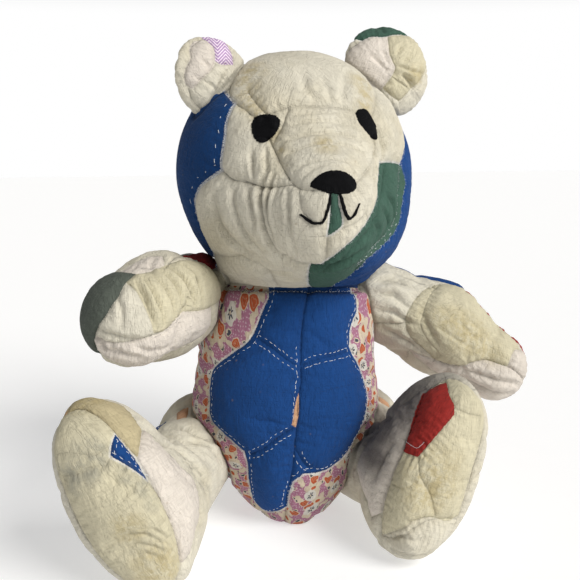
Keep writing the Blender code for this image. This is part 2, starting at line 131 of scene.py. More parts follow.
PATCHES = {
    "head": (
        ("green", ((53, 21), (68, 18), (82, 13), (82, 2), (74, -8), (70, -18), (62, -26), (44, -33),
         (26, -36), (30, -58), (32, -84), (-20, -84), (-19, -48), (-17, -34), (-12, -30), (-6, -25),
         (-1, -20), (5, -15), (10, -11), (15, -7), (20, -3), (30, 3), (43, 13))),
        ("green", ((-5, 8), (-1, 8), (-2, 1), (-1, -4), (-1, -8), (-3, -10), (-8, -13), (-7, -8), (-6, -1))),
        # the head's right blue patch, a darker copy of the blue cloth: painted shade on the head's shaded side
        ("shaded_blue", ((-89, 53), (-84, 42), (-81, 35), (-80, 25), (-79, 18), (-85, 13), (-93, 7), (-100, -1),
         (-101, -18), (-104, -30), (-125, -44), (-150, -48), (-158, -12), (-155, 25), (-125, 50))),
        ("blue", ((102, 33), (100, 24), (95, 19), (87, 16), (79, 12), (74, 4), (69, -4), (66, -13),
         (59, -21), (41, -28), (20, -28), (14, -32), (24, -45), (30, -60), (36, -84), (100, -74), (150, -50),
         (155, 5), (140, 38))),
        ("red", ((165, 30), (-165, 30), (-160, 0), (180, -18), (160, 0))),
    ),
    "body": (
        ("blue", ((-27, 64), (-27, 52), (-25, 45), (-30, 39), (-34, 33), (-39, 28), (-50, 23), (-66, 16),
         (-67, 11), (-66, 4), (-65, -3), (-58, -10), (-48, -18), (-40, -25), (-40, -34), (-46, -49),
         (-62, -66), (-48, -71), (-26, -67), (-7, -60), (-6, -52), (-3, -43), (5, -38), (24, -36), (39, -29),
         (48, -18), (56, -3), (59, 6), (55, 15), (47, 22), (44, 26), (48, 33), (56, 38), (56, 44), (60, 50),
         (58, 66), (10, 72))),
        ("blue", ((140, 30), (180, 42), (-145, 26), (-150, -12), (180, -34), (150, -10))),
        ("peach", ((-0.6, 9), (-0.6, 2), (-2.4, -8), (-5.4, -6), (-3.8, 2), (-2, 7))),
    ),
    "ear_right": (
        ("pale", ((-77, 28), (-50, 41), (-15, 48), (24, 51), (48, 53), (66, 54), (79, 60), (95, 75),
         (27, 88), (-58, 74), (-75, 63), (-83, 47), (-83, 36))),
        ("lilac", ((79, 60), (66, 54), (48, 53), (24, 51), (30, 37), (45, 20), (59, 4), (72, 13), (91, 26),
         (125, 30), (112, 52), (95, 62))),
        ("calico", ((140, 60), (180, 20), (-140, -10), (-120, 30), (-130, 60))),
    ),
    "ear_left": (
        ("pale", ((-86, 6), (-84, 17), (-77, 34), *LEFT_EAR_PATCH, (9, -22), (20, -54), (40, -75),
         (-60, -80), (-100, -40), (-98, -22), (-89, -5))),
        ("yellowed", (*LEFT_EAR_PATCH, (20, -54), (71, -28), (69, -1), (73, 21), (82, 43), (97, 60),
         (99, 67), (113, 80), (-146, 85), (-81, 73), (-76, 49))),
        ("green", ((-86, 6), (-84, 17), (-77, 34), (-76, 49), (-81, 73), (-146, 85), (108, 80), (93, 67),
         (93, 60), (100, 50), (110, 34), (125, 18), (180, 10), (-140, 0), (-100, 0))),
    ),
    "arm_right": (
        ("pale", ((-16, -11), (2, -15), (20, -15), (34, -12), (45, -9), (54, -7), (65, 0), (71, 9), (95, 0),
         (100, -30), (60, -50), (0, -45), (-20, -25))),
        ("pale", ((-46, 46), (-14, 58), (15, 58), (40, 63), (60, 66), (60, 84), (-50, 80))),
        ("yellowed", ((15, 57), (15, 45), (28, 37), (38, 23), (44, 7), (46, -6), (54, -7), (65, 0), (71, 6),
         (90, 0), (130, 0), (130, 55), (75, 66), (36, 62))),
        ("slate", ((15, 58), (17, 52), (14, 43), (13, 35), (8, 26), (2, 16), (-9, 1), (-16, -11), (-18, -20),
         (-22, -34), (-40, -38), (-62, 0), (-60, 42), (-46, 52), (-14, 58))),
        ("blue", ((-100, 45), (-60, 10), (-70, -30), (-120, -30), (-140, 20))),
        ("red", ((140, 70), (134, 60), (129, 49), (124, 42), (136, 37), (160, 36), (-170, 48), (180, 72))),
    ),
    "arm_left": (
        ("pale", ((-100, -40), *LEFT_ARM_PATCH, (-47, 25), (-35, 37), (-23, 39), (0, 38), (5, 0), (-20, -50),
         (-70, -60))),
        ("yellowed", ((-150, 74), (-122, 48), (-113, 20), (-109, -2), (-102, -19), (-94, -25),
         *LEFT_ARM_PATCH, (-47, 25), (-35, 37), (-23, 39), (3, 55), (20, 80), (160, 84))),
        ("blue", ((176, 45), (173, 62), (170, 74), (150, 84), (60, 86), (75, 60), (90, 20), (140, 10),
         (165, 30))),
        ("red", ((60, 86), (0, 74), (-3, 60), (-5, 45), (-8, 30), (-10, 15), (-14, 0), (-8, -20), (40, -35),
         (80, 0), (75, 60))),
    ),
    "leg_right": (
        ("yellowed", RIGHT_SOLE),
        ("pale", ((44, 46), (51, 49), (70, 56), (90, 58), (88, 20), (86, -10), (80, -40), (50, -52),
         (29, -45), (38, -21), (41, 7), (42, 30))),
        ("tan", ((-40, 79), (21, 79), (37, 73), (41, 66), (42, 55), (44, 45), (51, 49), (70, 56), (87, 59),
         (97, 69), (112, 80), (-150, 78), (-80, 76))),
        ("peach", ((-52, 75), (-36, 79), (-28, 84), (-60, 84))),
        ("blue", ((40, 60), (41, 50), (42, 44), (40, 30), (33, 40), (28, 46), (22, 52), (31, 56))),
        ("peach", ((172, 47), (156, 43), (143, 46), (157, 52))),
        ("blue", ((-160, 40), (-172, 48), (-150, 60), (-110, 40), (-120, 20))),
    ),
    "leg_left": (
        ("pale", ((-52, 84), (-72, 75), *LEFT_SOLE_EDGE, (-60, -50), (-90, -20), (-95, 30), (-90, 66))),
        ("yellowed", ((-72, 74), *LEFT_SOLE_EDGE, (-28, -51), (-14, -30), (-4, -15), (11, -8), (36, -8),
         (46, -2), (48, 40), (52, 66), (40, 80), (-40, 86))),
        ("red", ((-75, 73), (-63, 79), (-42, 83), (-14, 73), (2, 63), (-12, 50), (-23, 35), (-34, 36),
         (-43, 37), (-47, 49), (-56, 62))),
        ("peach", ((-175, 58), (-160, 54), (-168, 50), (178, 53))),
        ("calico", ((130, 60), (110, 30), (130, 0), (165, 10), (165, 40))),
    ),
}

# Seams inside or between panels: their pull on the cloth, how strongly it puckers, and their course.
SEAMS = {
    "head": (
        (1.0, 0.3, ((-13, 8), (-19, 9), (-23, 11), (-32, 22), (-39, 32), (-48, 42), (-63, 51), (-76, 53),
         (-93, 53), (-125, 55), (-150, 38), (-157, 10), (-160, -15), (-162, -40))),
        (0.5, 0.2, ((7, 9), (16, 13), (40, 22), (53, 30), (56, 36), (57, 46), (75, 50), (103, 51), (130, 52),
         (152, 35), (157, 8), (160, -15), (162, -40))),
        (0.9, 0.8, ((-89, 61), (-72, 59), (-57, 56), (-36, 65))),
        (0.6, 0.35, ((-36, 65), (-15, 67), (16, 66), (49, 57))),
        (0.7, 0.6, ((-36, 65), (-39, 53), (-44, 42))),
        (1.0, 0.65, ((-79, 18), (-70, 14), (-61, 14), (-47, 11), (-36, 11), (-24, 12))),
        (0.9, 0.2, ((-8, -13), (-8, -18), (-8, -25), (-9, -30))),
        (0.5, 0.2, ((-21, 9), (-20, 3), (-19, -2), (-15, -6))),
        (0.7, 0.5, ((-34, -29), (-22, -30), (-13, -29), (-8, -26), (-1, -21))),
        (0.6, 0.5, ((-101, -30), (-68, -31), (-55, -39), (-51, -46), (-61, -62))),
        (0.6, 0.5, ((-3, -10), (2, -9), (6, -8), (12, -5))),
        (0.6, 0.1, ((60, 19), (52, 12), (37, 1), (25, -5), (15, -12), (6, -18), (-2, -27), (-10, -36))),
        (0.8, 0.4, ((180, 10), (180, 40), (178, 66))),
    ),
    "body": (
        (1.0, 0.15, ((13, 66), (13, 54), (5, 41), (2, 30), (1, 20), (1, 14), (-1, 7), (-2, -8), (-3, -19),
         (-4, -36), (-8, -54), (-9, -69), (-12, -80), (175, -80), (180, -45), (180, 0), (180, 60))),
        (0.6, 0.4, ((-34, 30), (-20, 26), (-9, 22), (0, 19))),
        (0.6, 0.4, ((2, 20), (14, 22), (29, 23), (43, 24))),
        (0.8, 0.4, ((-36, -27), (-25, -22), (-14, -14), (-4, -8))),
        (0.6, 0.3, ((-2, -23), (5, -32), (11, -35))),
        (0.3, 0.15, ((-98, 62), (-98, 0), (-98, -60))),
        (0.3, 0.15, ((98, 62), (98, 0), (98, -60))),
    ),
    "ear_right": (
        (0.9, 0.4, ((-82, -40), (-82, -15), (-84, -4), (-85, 14), (-82, 32), (-83, 47), (-75, 62), (-58, 73),
         (27, 87), (78, 78), (92, 60), (98, 30), (98, -40))),
        (0.3, 0.4, ((-77, 28), (-50, 41), (-15, 48), (24, 51))),
    ),
    "ear_left": (
        (0.8, 0.6, ((-98, -45), (-98, -22), (-89, -5), (-86, 6), (-84, 17), (-77, 34), (-76, 49), (-81, 73),
         (-146, 85), (113, 80), (99, 67), (98, 55), (98, 30), (98, -45))),
        (0.5, 1.0, LEFT_EAR_PATCH),
        (0.5, 0.5, ((13, -19), (9, -22), (20, -54))),
        (0.5, 0.5, ((13, -19), (67, 0))),
    ),
    "arm_right": (
        (1.0, 0.7, ((-16, -11), (2, -15), (20, -15), (34, -12), (46, -8), (54, -7), (65, 0), (71, 9),
         (76, 20))),
        (0.8, 0.5, ((-41, 57), (10, 68), (60, 62), (73, 69), (150, 70))),
        (0.6, 0.8, ((46, -12), (53, -9), (63, -5), (71, 4), (73, 13))),
    ),
    "arm_left": (
        (0.7, 0.3, ((175, 50), (174, 59), (172, 69), (168, 80), (20, 86), (4, 69), (2, 53), (-1, 38),
         (-3, 23), (-8, 8), (-14, -30))),
        (0.9, 0.6, ((-147, 72), (-122, 48), (-113, 20), (-109, -2), (-102, -19), (-94, -25), (-88, -31))),
        (0.4, 0.9, ((-136, 69), (-113, 43), (-105, 18), (-101, 1), (-94, -11), (-88, -20))),
        (0.8, 0.5, ((-106, 0), (-111, -10), (-118, -18), (-124, -26))),
        (1.1, 1.0, ((-100, -40), *LEFT_ARM_PATCH, (-22, 7))),
        (0.6, 0.4, ((-23, 39), (-35, 37), (-47, 25), (-51, 13))),
    ),
    "leg_right": (
        (1.1, 0.25, (*RIGHT_SOLE, (-42, 70), (-38, 79))),
        (0.3, 0.4, ((-32, 53), (-15, 53), (2, 53), (14, 50), (22, 52))),
        (0.15, 0.3, ((-26, 62), (-6, 60), (8, 57), (24, 55))),
        (0.3, 0.5, ((22, 52), (28, 46), (33, 40), (40, 30))),
        (0.8, 0.6, ((91, 57), (92, 51), (97, 42), (93, 21), (90, -5), (92, -34))),
    ),
    "leg_left": (
        (1.2, 0.25, ((-52, 84), (-75, 79), (-72, 74), *LEFT_SOLE_EDGE, (-26, -62), (5, -66), (38, -40),
         (47, -8), (49, 30), (52, 60), (58, 78))),
        (0.5, 0.4, ((-23, 35), (-13, 24), (3, 12), (17, -6))),
        (0.7, 0.7, ((-30, -52), (-17, -43), (-2, -23), (13, -11), (30, -7), (45, -6))),
        (0.6, 0.4, ((-4, 65), (18, 65), (39, 64))),
    ),
}

# Folds and dragged creases: how deep, how wide, and their course.
FOLDS = {
    "head": (
        (2.0, 2.0, ((-46, 20), (-47, 9), (-44, -8), (-41, -19), (-35, -30))),
        (1.8, 1.6, ((-38, 21), (-41, 9), (-40, -8), (-36, -21))),
        (0.8, 1.8, ((-60, 14), (-54, 2), (-49, -11))),
        (0.9, 1.8, ((-27, 11), (-26, -2), (-25, -14), (-24, -24))),
        (1.2, 2.6, ((-82, 4), (-75, -13), (-63, -27), (-47, -35))),
        (0.9, 1.8, ((-70, 12), (-66, 0), (-58, -16), (-48, -28))),
        (0.8, 1.6, ((-50, 38), (-46, 26), (-43, 14))),
        (0.8, 1.6, ((-60, 34), (-56, 22), (-54, 14))),
        (0.6, 1.4, ((-34, 59), (-16, 62), (12, 62), (40, 55))),
        (0.6, 1.4, ((-30, 54), (-14, 56), (10, 56), (36, 50))),
        (0.6, 1.4, ((-30, 42), (-16, 45), (6, 46), (32, 40))),
        (0.7, 1.4, ((-32, 31), (-19, 35), (-3, 37), (13, 35), (28, 30))),
        (0.7, 1.4, ((-25, 19), (-15, 23), (-4, 24), (8, 22), (19, 19))),
        (0.7, 1.4, ((-19, 14), (-12, 19), (0, 20), (10, 16), (13, 9))),
        (0.9, 2.0, ((54, 47), (53, 36), (45, 22), (27, 8), (13, -3))),
        (0.8, 1.8, ((62, 42), (62, 30), (54, 16))),
        (1.0, 2.2, ((16, -8), (24, -16), (20, -24))),
        (1.9, 2.2, ((-34, -31), (-18, -33), (-2, -29), (12, -21))),
        (0.9, 2.0, ((-60, -42), (-44, -44), (-28, -42))),
        (0.8, 2.0, ((-50, -48), (-36, -50), (-22, -48))),
        (0.8, 1.8, ((30, -6), (40, -12), (46, -20), (40, -28))),
        (0.8, 1.8, ((44, 0), (54, -6), (58, -16), (52, -24))),
        (0.6, 2.0, ((-20, 84), (-10, 76), (6, 70))),
        (0.6, 2.0, ((40, 80), (34, 72), (28, 66))),
        (0.6, 2.4, ((88, 70), (60, 68), (36, 62))),
    ),
    "body": (
        (0.25, 1.0, ((-3, 16), (-14, 17), (-26, 14))),
        (0.25, 1.0, ((-5, -7), (-16, -4), (-30, -2))),
        (0.25, 1.0, ((-6, -10), (-18, -12), (-30, -20))),
        (0.25, 1.0, ((6, 34), (16, 30), (24, 26))),
        (0.25, 1.0, ((4, 16), (16, 14), (30, 12))),
        (1.0, 3.0, ((-100, 20), (-90, -10), (-80, -40))),
        (1.0, 3.0, ((100, 20), (90, -10), (80, -40))),
        (0.9, 2.6, ((120, 30), (150, 24), (175, 10))),
        (0.9, 2.6, ((-120, 30), (-150, 20), (-172, 6))),
    ),
    "ear_right": (
        (0.5, 1.4, ((-70, 50), (-50, 24), (-46, 0))),
        (0.5, 1.4, ((-20, 70), (-16, 58), (-24, 46))),
        (0.7, 1.6, ((-60, -6), (-30, 2), (0, 8), (40, 6))),
        (0.5, 1.4, ((-50, -24), (-20, -20), (10, -20))),
    ),
    "ear_left": (
        (0.6, 1.4, ((-60, 20), (-40, 10), (-20, 2))),
        (0.6, 1.4, ((-66, -8), (-34, -14), (0, -22))),
        (0.9, 1.3, ((-5, 22), (42, 33), (76, 38))),
        (1.5, 2.0, ((31, 13), (59, 12), (71, 5))),
        (0.7, 1.4, ((-40, 66), (-30, 52), (-24, 40))),
        (0.7, 1.4, ((20, 66), (20, 54), (14, 44))),
    ),
    "arm_right": (
        (1.9, 1.5, ((23, 48), (38, 30), (45, 11), (48, -3))),
        (1.9, 1.5, ((27, 54), (46, 30), (52, 11), (52, -3))),
        (2.0, 1.6, ((39, 56), (57, 32), (62, 11), (62, 1))),
        (2.0, 1.6, ((52, 59), (66, 37), (70, 16), (71, 4))),
        (2.0, 1.7, ((63, 63), (75, 42), (80, 23), (81, 2))),
        (1.8, 1.8, ((81, 63), (89, 42), (87, 22), (87, 1))),
        (1.0, 2.0, ((-13, -1), (3, -3), (24, -9), (39, -12))),
        (1.1, 2.0, ((-11, -10), (-4, -22), (13, -28))),
        (1.0, 2.0, ((4, -18), (16, -26), (34, -30))),
        (0.9, 1.8, ((30, -16), (42, -24), (56, -26))),
        (0.8, 1.8, ((10, 36), (20, 20), (22, 4))),
        (0.8, 1.8, ((30, 62), (30, 74), (10, 84))),
        (1.0, 2.4, ((120, 40), (150, 20), (160, -20))),
        (0.9, 2.4, ((-110, 30), (-130, 0), (-140, -30))),
    ),
    "arm_left": (
        (1.3, 2.4, ((-137, 20), (-135, 33), (-125, 44))),
        (1.2, 2.4, ((-145, 40), (-142, 52), (-125, 62))),
        (1.3, 2.4, ((-129, 8), (-124, 19), (-112, 15))),
        (1.2, 2.2, ((-123, -6), (-116, 1), (-105, -3))),
        (1.2, 2.2, ((-122, -25), (-111, -26), (-99, -28), (-90, -31))),
        (1.0, 2.0, ((-110, 27), (-101, 10), (-93, -3), (-88, -14))),
        (0.4, 1.2, ((-104, 52), (-92, 40), (-76, 34), (-58, 32))),
        (0.4, 1.2, ((-100, 34), (-88, 26), (-74, 22), (-58, 24))),
        (0.4, 1.2, ((-96, 10), (-84, 8), (-72, 10))),
        (1.2, 2.0, ((-80, -30), (-64, -16), (-46, -4), (-28, -2))),
        (1.1, 2.0, ((-70, -40), (-52, -28), (-34, -16))),
        (0.9, 2.4, ((100, 30), (130, 20), (150, -10))),
        (0.9, 2.4, ((40, 40), (60, 10), (60, -20))),
    ),
    "leg_right": (
        (1.6, 2.0, ((87, 51), (98, 42), (95, 18), (92, -10), (102, -52))),
        (1.5, 2.2, ((165, 65), (114, 48), (102, 25), (99, 3))),
        (1.5, 2.2, ((171, 61), (130, 51), (118, 38))),
        (1.2, 1.8, ((90, 55), (86, 38), (85, 19), (83, -7), (82, -37))),
        (1.2, 1.8, ((94, 37), (91, 16), (89, -12))),
        (1.3, 1.8, ((108, 34), (106, 10), (104, -20))),
        (1.2, 2.0, ((150, 58), (122, 44), (110, 20), (110, -4))),
        (1.1, 2.0, ((-160, 60), (-150, 40), (-140, 10))),
        (0.5, 1.1, ((16, 45), (16, 37))),
        (0.5, 1.1, ((20, 40), (20, 31))),
        (0.5, 1.1, ((24, 35), (24, 26))),
        (0.4, 1.1, ((12, 49), (12, 42))),
        (0.5, 1.0, ((-11, 3), (4, 3), (15, -3), (22, -16))),
        (0.5, 1.0, ((-11, -5), (5, -6), (16, -15), (22, -24))),
        (0.5, 1.0, ((-7, -14), (7, -16), (15, -24))),
        (0.5, 1.0, ((21, 0), (25, -8), (28, -15))),
    ),
    "leg_left": (
        (1.4, 2.2, ((-114, 43), (-126, 55), (-87, 53))),
        (1.4, 2.4, ((-175, 50), (-140, 40), (-110, 30))),
        (1.2, 2.4, ((-100, 44), (-102, 20), (-106, -10))),
        (1.2, 2.4, ((-112, 30), (-116, 8), (-120, -20))),
        (1.1, 2.2, ((-90, 40), (-92, 18), (-94, -10))),
        (0.9, 1.8, ((-60, 40), (-64, 20), (-64, -4))),
        (0.8, 1.6, ((-20, -40), (-4, -30), (14, -26))),
        (0.8, 1.6, ((-10, -50), (6, -42), (24, -36))),
        (1.1, 2.4, ((110, 40), (130, 10), (130, -20))),
    ),
}

# Stains, by kind: their middles and radii in degrees. The kind on the left leg's inner side is mostly painted
# shade, with some soiling, and the yellow spots along the bases of the ears also paint in the shade below
# them.
STAINS = {
    "grey": {
        "leg_right": ((35, 28, 9), (33, 16, 7), (27, 40, 6), (0, 54, 10), (-20, 52, 9), (14, 56, 8)),
    },
    # mostly painted shade on the left leg's inner side, where it lies against the body, with some soiling
    "shade_and_soil": {
        "leg_left": ((-76, 66, 30), (-84, 44, 30), (-76, 20, 26), (-100, 30, 40)),
    },
    "yellow": {
        # the spots along the bases of the ears are yellowed cloth, made strong enough to paint in the shade
        # below the ears as well
        "head": ((64, 55, 7), (72, 57, 7), (84, 60, 8), (-54, 52, 6), (-66, 55, 6), (-78, 57, 7), (-92, 61, 8),
                 (-106, 66, 8), (-44, 46, 6), (-36, 36, 5), (0, 36, 9)),
        "ear_left": ((60, 30, 22),),
        "leg_right": ((6, 9, 14), (10, -30, 20), (30, 84, 10)),
        "leg_left": ((0, 20, 30),),
        "arm_left": ((-80, 20, 24),),
    },
}


# Shapes, as distance functions: negative inside the cloth. Points are rows of an array.


def rotation(degrees):
    x, y, z = (radians(angle) for angle in degrees)
    turn_x = np.array([[1, 0, 0], [0, cos(x), -sin(x)], [0, sin(x), cos(x)]])
    turn_y = np.array([[cos(y), 0, sin(y)], [0, 1, 0], [-sin(y), 0, cos(y)]])
    turn_z = np.array([[cos(z), -sin(z), 0], [sin(z), cos(z), 0], [0, 0, 1]])
    return turn_z @ turn_y @ turn_x


def foot_rotation(degrees):
    """A foot leans sideways after it has tipped back, and swings outwards last."""
    return rotation((0, 0, degrees[2])) @ rotation((0, degrees[1], 0)) @ rotation((degrees[0], 0, 0))


def into(points, centre, turn):
    return (points - np.asarray(centre)) @ turn


def out_of(points, centre, turn):
    return np.asarray(points) @ turn.T + np.asarray(centre)


def ellipsoid(points, centre, radii):
    offset = points - np.asarray(centre)
    scaled = np.linalg.norm(offset / radii, axis=-1)
    slope = np.linalg.norm(offset / np.square(radii), axis=-1)
    return scaled * (scaled - 1) / np.maximum(slope, 1e-9)


def round_cone(points, start, end):
    (a, radius_a), (b, radius_b) = start, end
    along = np.subtract(b, a)
    share = np.clip((points - np.asarray(a)) @ along / (along @ along), 0, 1)
    axis = np.asarray(a) + share[:, None] * along
    return np.linalg.norm(points - axis, axis=-1) - (radius_a + (radius_b - radius_a) * share)


def blend(a, b, width):
    """The union of two shapes, with a fillet about this wide between them."""
    share = np.clip(0.5 + 0.5 * (b - a) / width, 0, 1)
    return b * (1 - share) + a * share - width * share * (1 - share)


def trim(a, b, width):
    """What two shapes share, with the edge between them rounded."""
    return -blend(-a, -b, width)


def body(points):
    local = into(points, BODY_SEAT, rotation(BODY_TURN))
    low = np.clip(1 - local[:, 2] / TAPER_HEIGHT, 0, 1)
    local[:, 0] = (local[:, 0] - TAPER_ASIDE * low) * (1 + SEAT_TAPER * low**1.6)
    egg = blend(ellipsoid(local, BODY_MIDDLE, BELLY_RADII), ellipsoid(local, *CHEST), 10.0)
    egg = trim(egg, local[:, 2] - NECK_HEIGHT - NECK_OVERLAP, 12.0)
    return np.maximum(egg, -points[:, 2])


def head(points):
    local = into(points, HEAD_CENTRE, rotation(HEAD_TURN))
    middle, radii = MUZZLE
    muzzle = ellipsoid(into(local, middle, rotation(MUZZLE_TIP)), ORIGIN, radii)
    face = blend(blend(ellipsoid(local, *SKULL), muzzle, 26.0), ellipsoid(local, *CHEEKS), 20.0)
    seated = into(points, BODY_SEAT, rotation(BODY_TURN))
    above_neck = seated[:, 2] - NECK_HEIGHT + NECK_TUCK
    across, back = seated[:, 0] / NECK_RADII[0], (seated[:, 1] - NECK_BACK) / NECK_RADII[1]
    column = (np.hypot(across, back) - 1) * min(NECK_RADII)
    neck = np.maximum(column, above_neck - NECK_RISE)
    return trim(blend(face, neck, 16.0), -above_neck, 1.5)


def ear(side):
    shape = EARS[side]

    def distance(points):
        local = into(points, HEAD_CENTRE, rotation(HEAD_TURN))
        local = into(local, shape["centre"], rotation(shape["turn"]))
        cup = EAR_CUP * (local[:, 0] ** 2 + local[:, 2] ** 2)
        flat = np.stack([local[:, 0], local[:, 1] - cup, local[:, 2]], axis=-1)
        return ellipsoid(flat, ORIGIN, shape["radii"])

    return distance


def arm(side):
    shoulder, elbow, paw = ARMS[side]

    def distance(points):
        upper = round_cone(points, shoulder, elbow)
        return blend(upper, round_cone(points, elbow, paw), 16.0)

    return distance


def leg(side):
    shape = LEGS[side]

    def distance(points):
        thigh = round_cone(points, shape["hip"], shape["ankle"])
        local = into(points, shape["foot"], foot_rotation(shape["turn"]))
        bulk = ellipsoid(local, FOOT_BULK, shape["radii"])
        spread = (local[:, 0] / shape["radii"][0]) ** 2 + (local[:, 2] / shape["radii"][2]) ** 2
        sole = -(local[:, 1] + SOLE_DEPTH + SOLE_DOME * (1 - spread))
        foot = trim(bulk, sole, 3.0)
        return np.maximum(blend(thigh, foot, 20.0), -points[:, 2])

    return distance


def seam_frame(backwards, upwards):
    """A turn whose Y axis runs backwards along a limb, with a seam in the plane of its Y and Z axes."""
    along = backwards / np.linalg.norm(backwards)
    sideways = np.cross(along, upwards)
    sideways /= np.linalg.norm(sideways)
    return np.stack([sideways, along, np.cross(sideways, along)], axis=1)


# Skins: a ball of directions pushed out to the cloth, and the lines sewn across it.


def unit(vectors):
    return vectors / np.linalg.norm(vectors, axis=-1, keepdims=True)


def ball(steps):
    """Unit directions and four-sided faces of a cube whose faces have this many steps each way."""
    even = np.tan(np.linspace(-1, 1, steps + 1) * pi / 4)
    across, up = np.meshgrid(even, even, indexing="ij")
    index = np.arange((steps + 1) ** 2).reshape(steps + 1, steps + 1)
    square = np.stack([index[:-1, :-1], index[1:, :-1], index[1:, 1:], index[:-1, 1:]], axis=-1)
    square = square.reshape(-1, 4)
    corners, faces = [], []
    for axis in range(3):
        for sign in (-1, 1):
            grid = np.zeros((steps + 1, steps + 1, 3))
            grid[..., axis] = sign
            grid[..., (axis + 1) % 3] = across
            grid[..., (axis + 2) % 3] = up
            start = len(corners) * index.size
            faces.append(start + square[:, ::sign])
            corners.append(grid.reshape(-1, 3))
    corners = np.concatenate(corners)
    _, first, welded = np.unique(np.round(corners, 6), axis=0, return_index=True, return_inverse=True)
    return unit(corners[first]), welded.reshape(-1)[np.concatenate(faces)]


def heading(places):
    """Unit directions of places given as (around, up) in degrees."""
    around, up = np.radians(np.asarray(places, float)).T
    return np.stack([np.sin(around) * np.cos(up), -np.cos(around) * np.cos(up), np.sin(up)], axis=-1)


def quartered(faces, field):
    """Each face cut in four, and a field over the corners smoothed as a subdivision surface is."""
    count = len(field)
    ends = np.sort(np.stack([faces, np.roll(faces, -1, axis=1)], axis=-1).reshape(-1, 2), axis=1)
    ends, edge = np.unique(ends, axis=0, return_inverse=True)
    edge = edge.reshape(faces.shape)
    centres = field[faces].mean(axis=1)
    beside = np.zeros((len(ends), field.shape[1]))
    around, valence = np.zeros_like(field), np.zeros(count)
    for k in range(4):
        np.add.at(beside, edge[:, k], centres / 4)
        np.add.at(around, faces[:, k], centres)
        np.add.at(valence, faces[:, k], 1)
    halves = field[ends].mean(axis=1)
    spokes = np.zeros_like(field)
    for k in range(2):
        np.add.at(spokes, ends[:, k], halves)
    valence = valence[:, None]
    corners = (around / valence + 2 * spokes / valence + (valence - 3) * field) / valence
    middle = count + len(ends) + np.arange(len(faces))
    pieces = [
        np.stack([faces[:, k], count + edge[:, k], middle, count + edge[:, k - 1]], axis=-1) for k in range(4)
    ]
    return np.concatenate(pieces), np.concatenate([corners, halves / 2 + beside, centres])


class Skin:
    """The cloth of one stuffed part: its plain shape, and how far stuffing and seams move it from that."""

    def __init__(self, name, distance, spine, turn):
        self.name, self.kind = name, name.split("_")[0]
        self.distance = distance
        self.spine = [np.asarray(point, float) for point in spine]
        self.turn = turn
        self.spread(*ball(STEPS[self.kind]))
        self.patches = [(cloth, Course(self, places, closed=True)) for cloth, places in PATCHES[name]]
        self.seams = [(pull, pucker, Course(self, places)) for pull, pucker, places in SEAMS[name]]
        self.folds = [(depth, width, Course(self, places)) for depth, width, places in FOLDS[name]]

    def spread(self, directions, faces):
        self.directions, self.faces = directions, faces
        self.points = self.place(directions)
        self.normals = self.normals_at(self.points)
        self.moved = np.zeros_like(self.points)

    def refine(self):
        """Cuts each face in four, and carries what has moved along."""
        _, directions = quartered(self.faces, self.directions)
        faces, moved = quartered(self.faces, self.moved)
        self.spread(unit(directions), faces)
        self.moved = moved

    def place(self, directions, inset=0.0):
        """Where rays in these directions of the part's own frame leave it."""
        rays = directions @ self.turn.T
        starts = np.repeat(self.spine[0][None], len(rays), axis=0)
        for end in self.spine[1:]:
            reach = end - self.spine[0]
            starts += np.maximum(rays @ unit(reach), 0)[:, None] * reach
        near, far = np.zeros(len(rays)), np.full(len(rays), FAR)
        for _ in range(28):
            half = (near + far) / 2
            within = self.distance(starts + half[:, None] * rays) + inset < 0
            near = np.where(within, half, near)
            far = np.where(within, far, half)
        return starts + near[:, None] * rays

    def normals_at(self, points):
        slopes = [
            self.distance(points + step) - self.distance(points - step)
            for step in np.eye(3) * 0.5
        ]
        return unit(np.stack(slopes, axis=-1))


def curved(share, start, leave, end, arrive):
    """Places on the curve that sets off from its start one way and comes to its end another."""
    return (
        (2 * share**3 - 3 * share**2 + 1) * start + (share**3 - 2 * share**2 + share) * leave
        + (3 * share**2 - 2 * share**3) * end + (share**3 - share**2) * arrive
    )


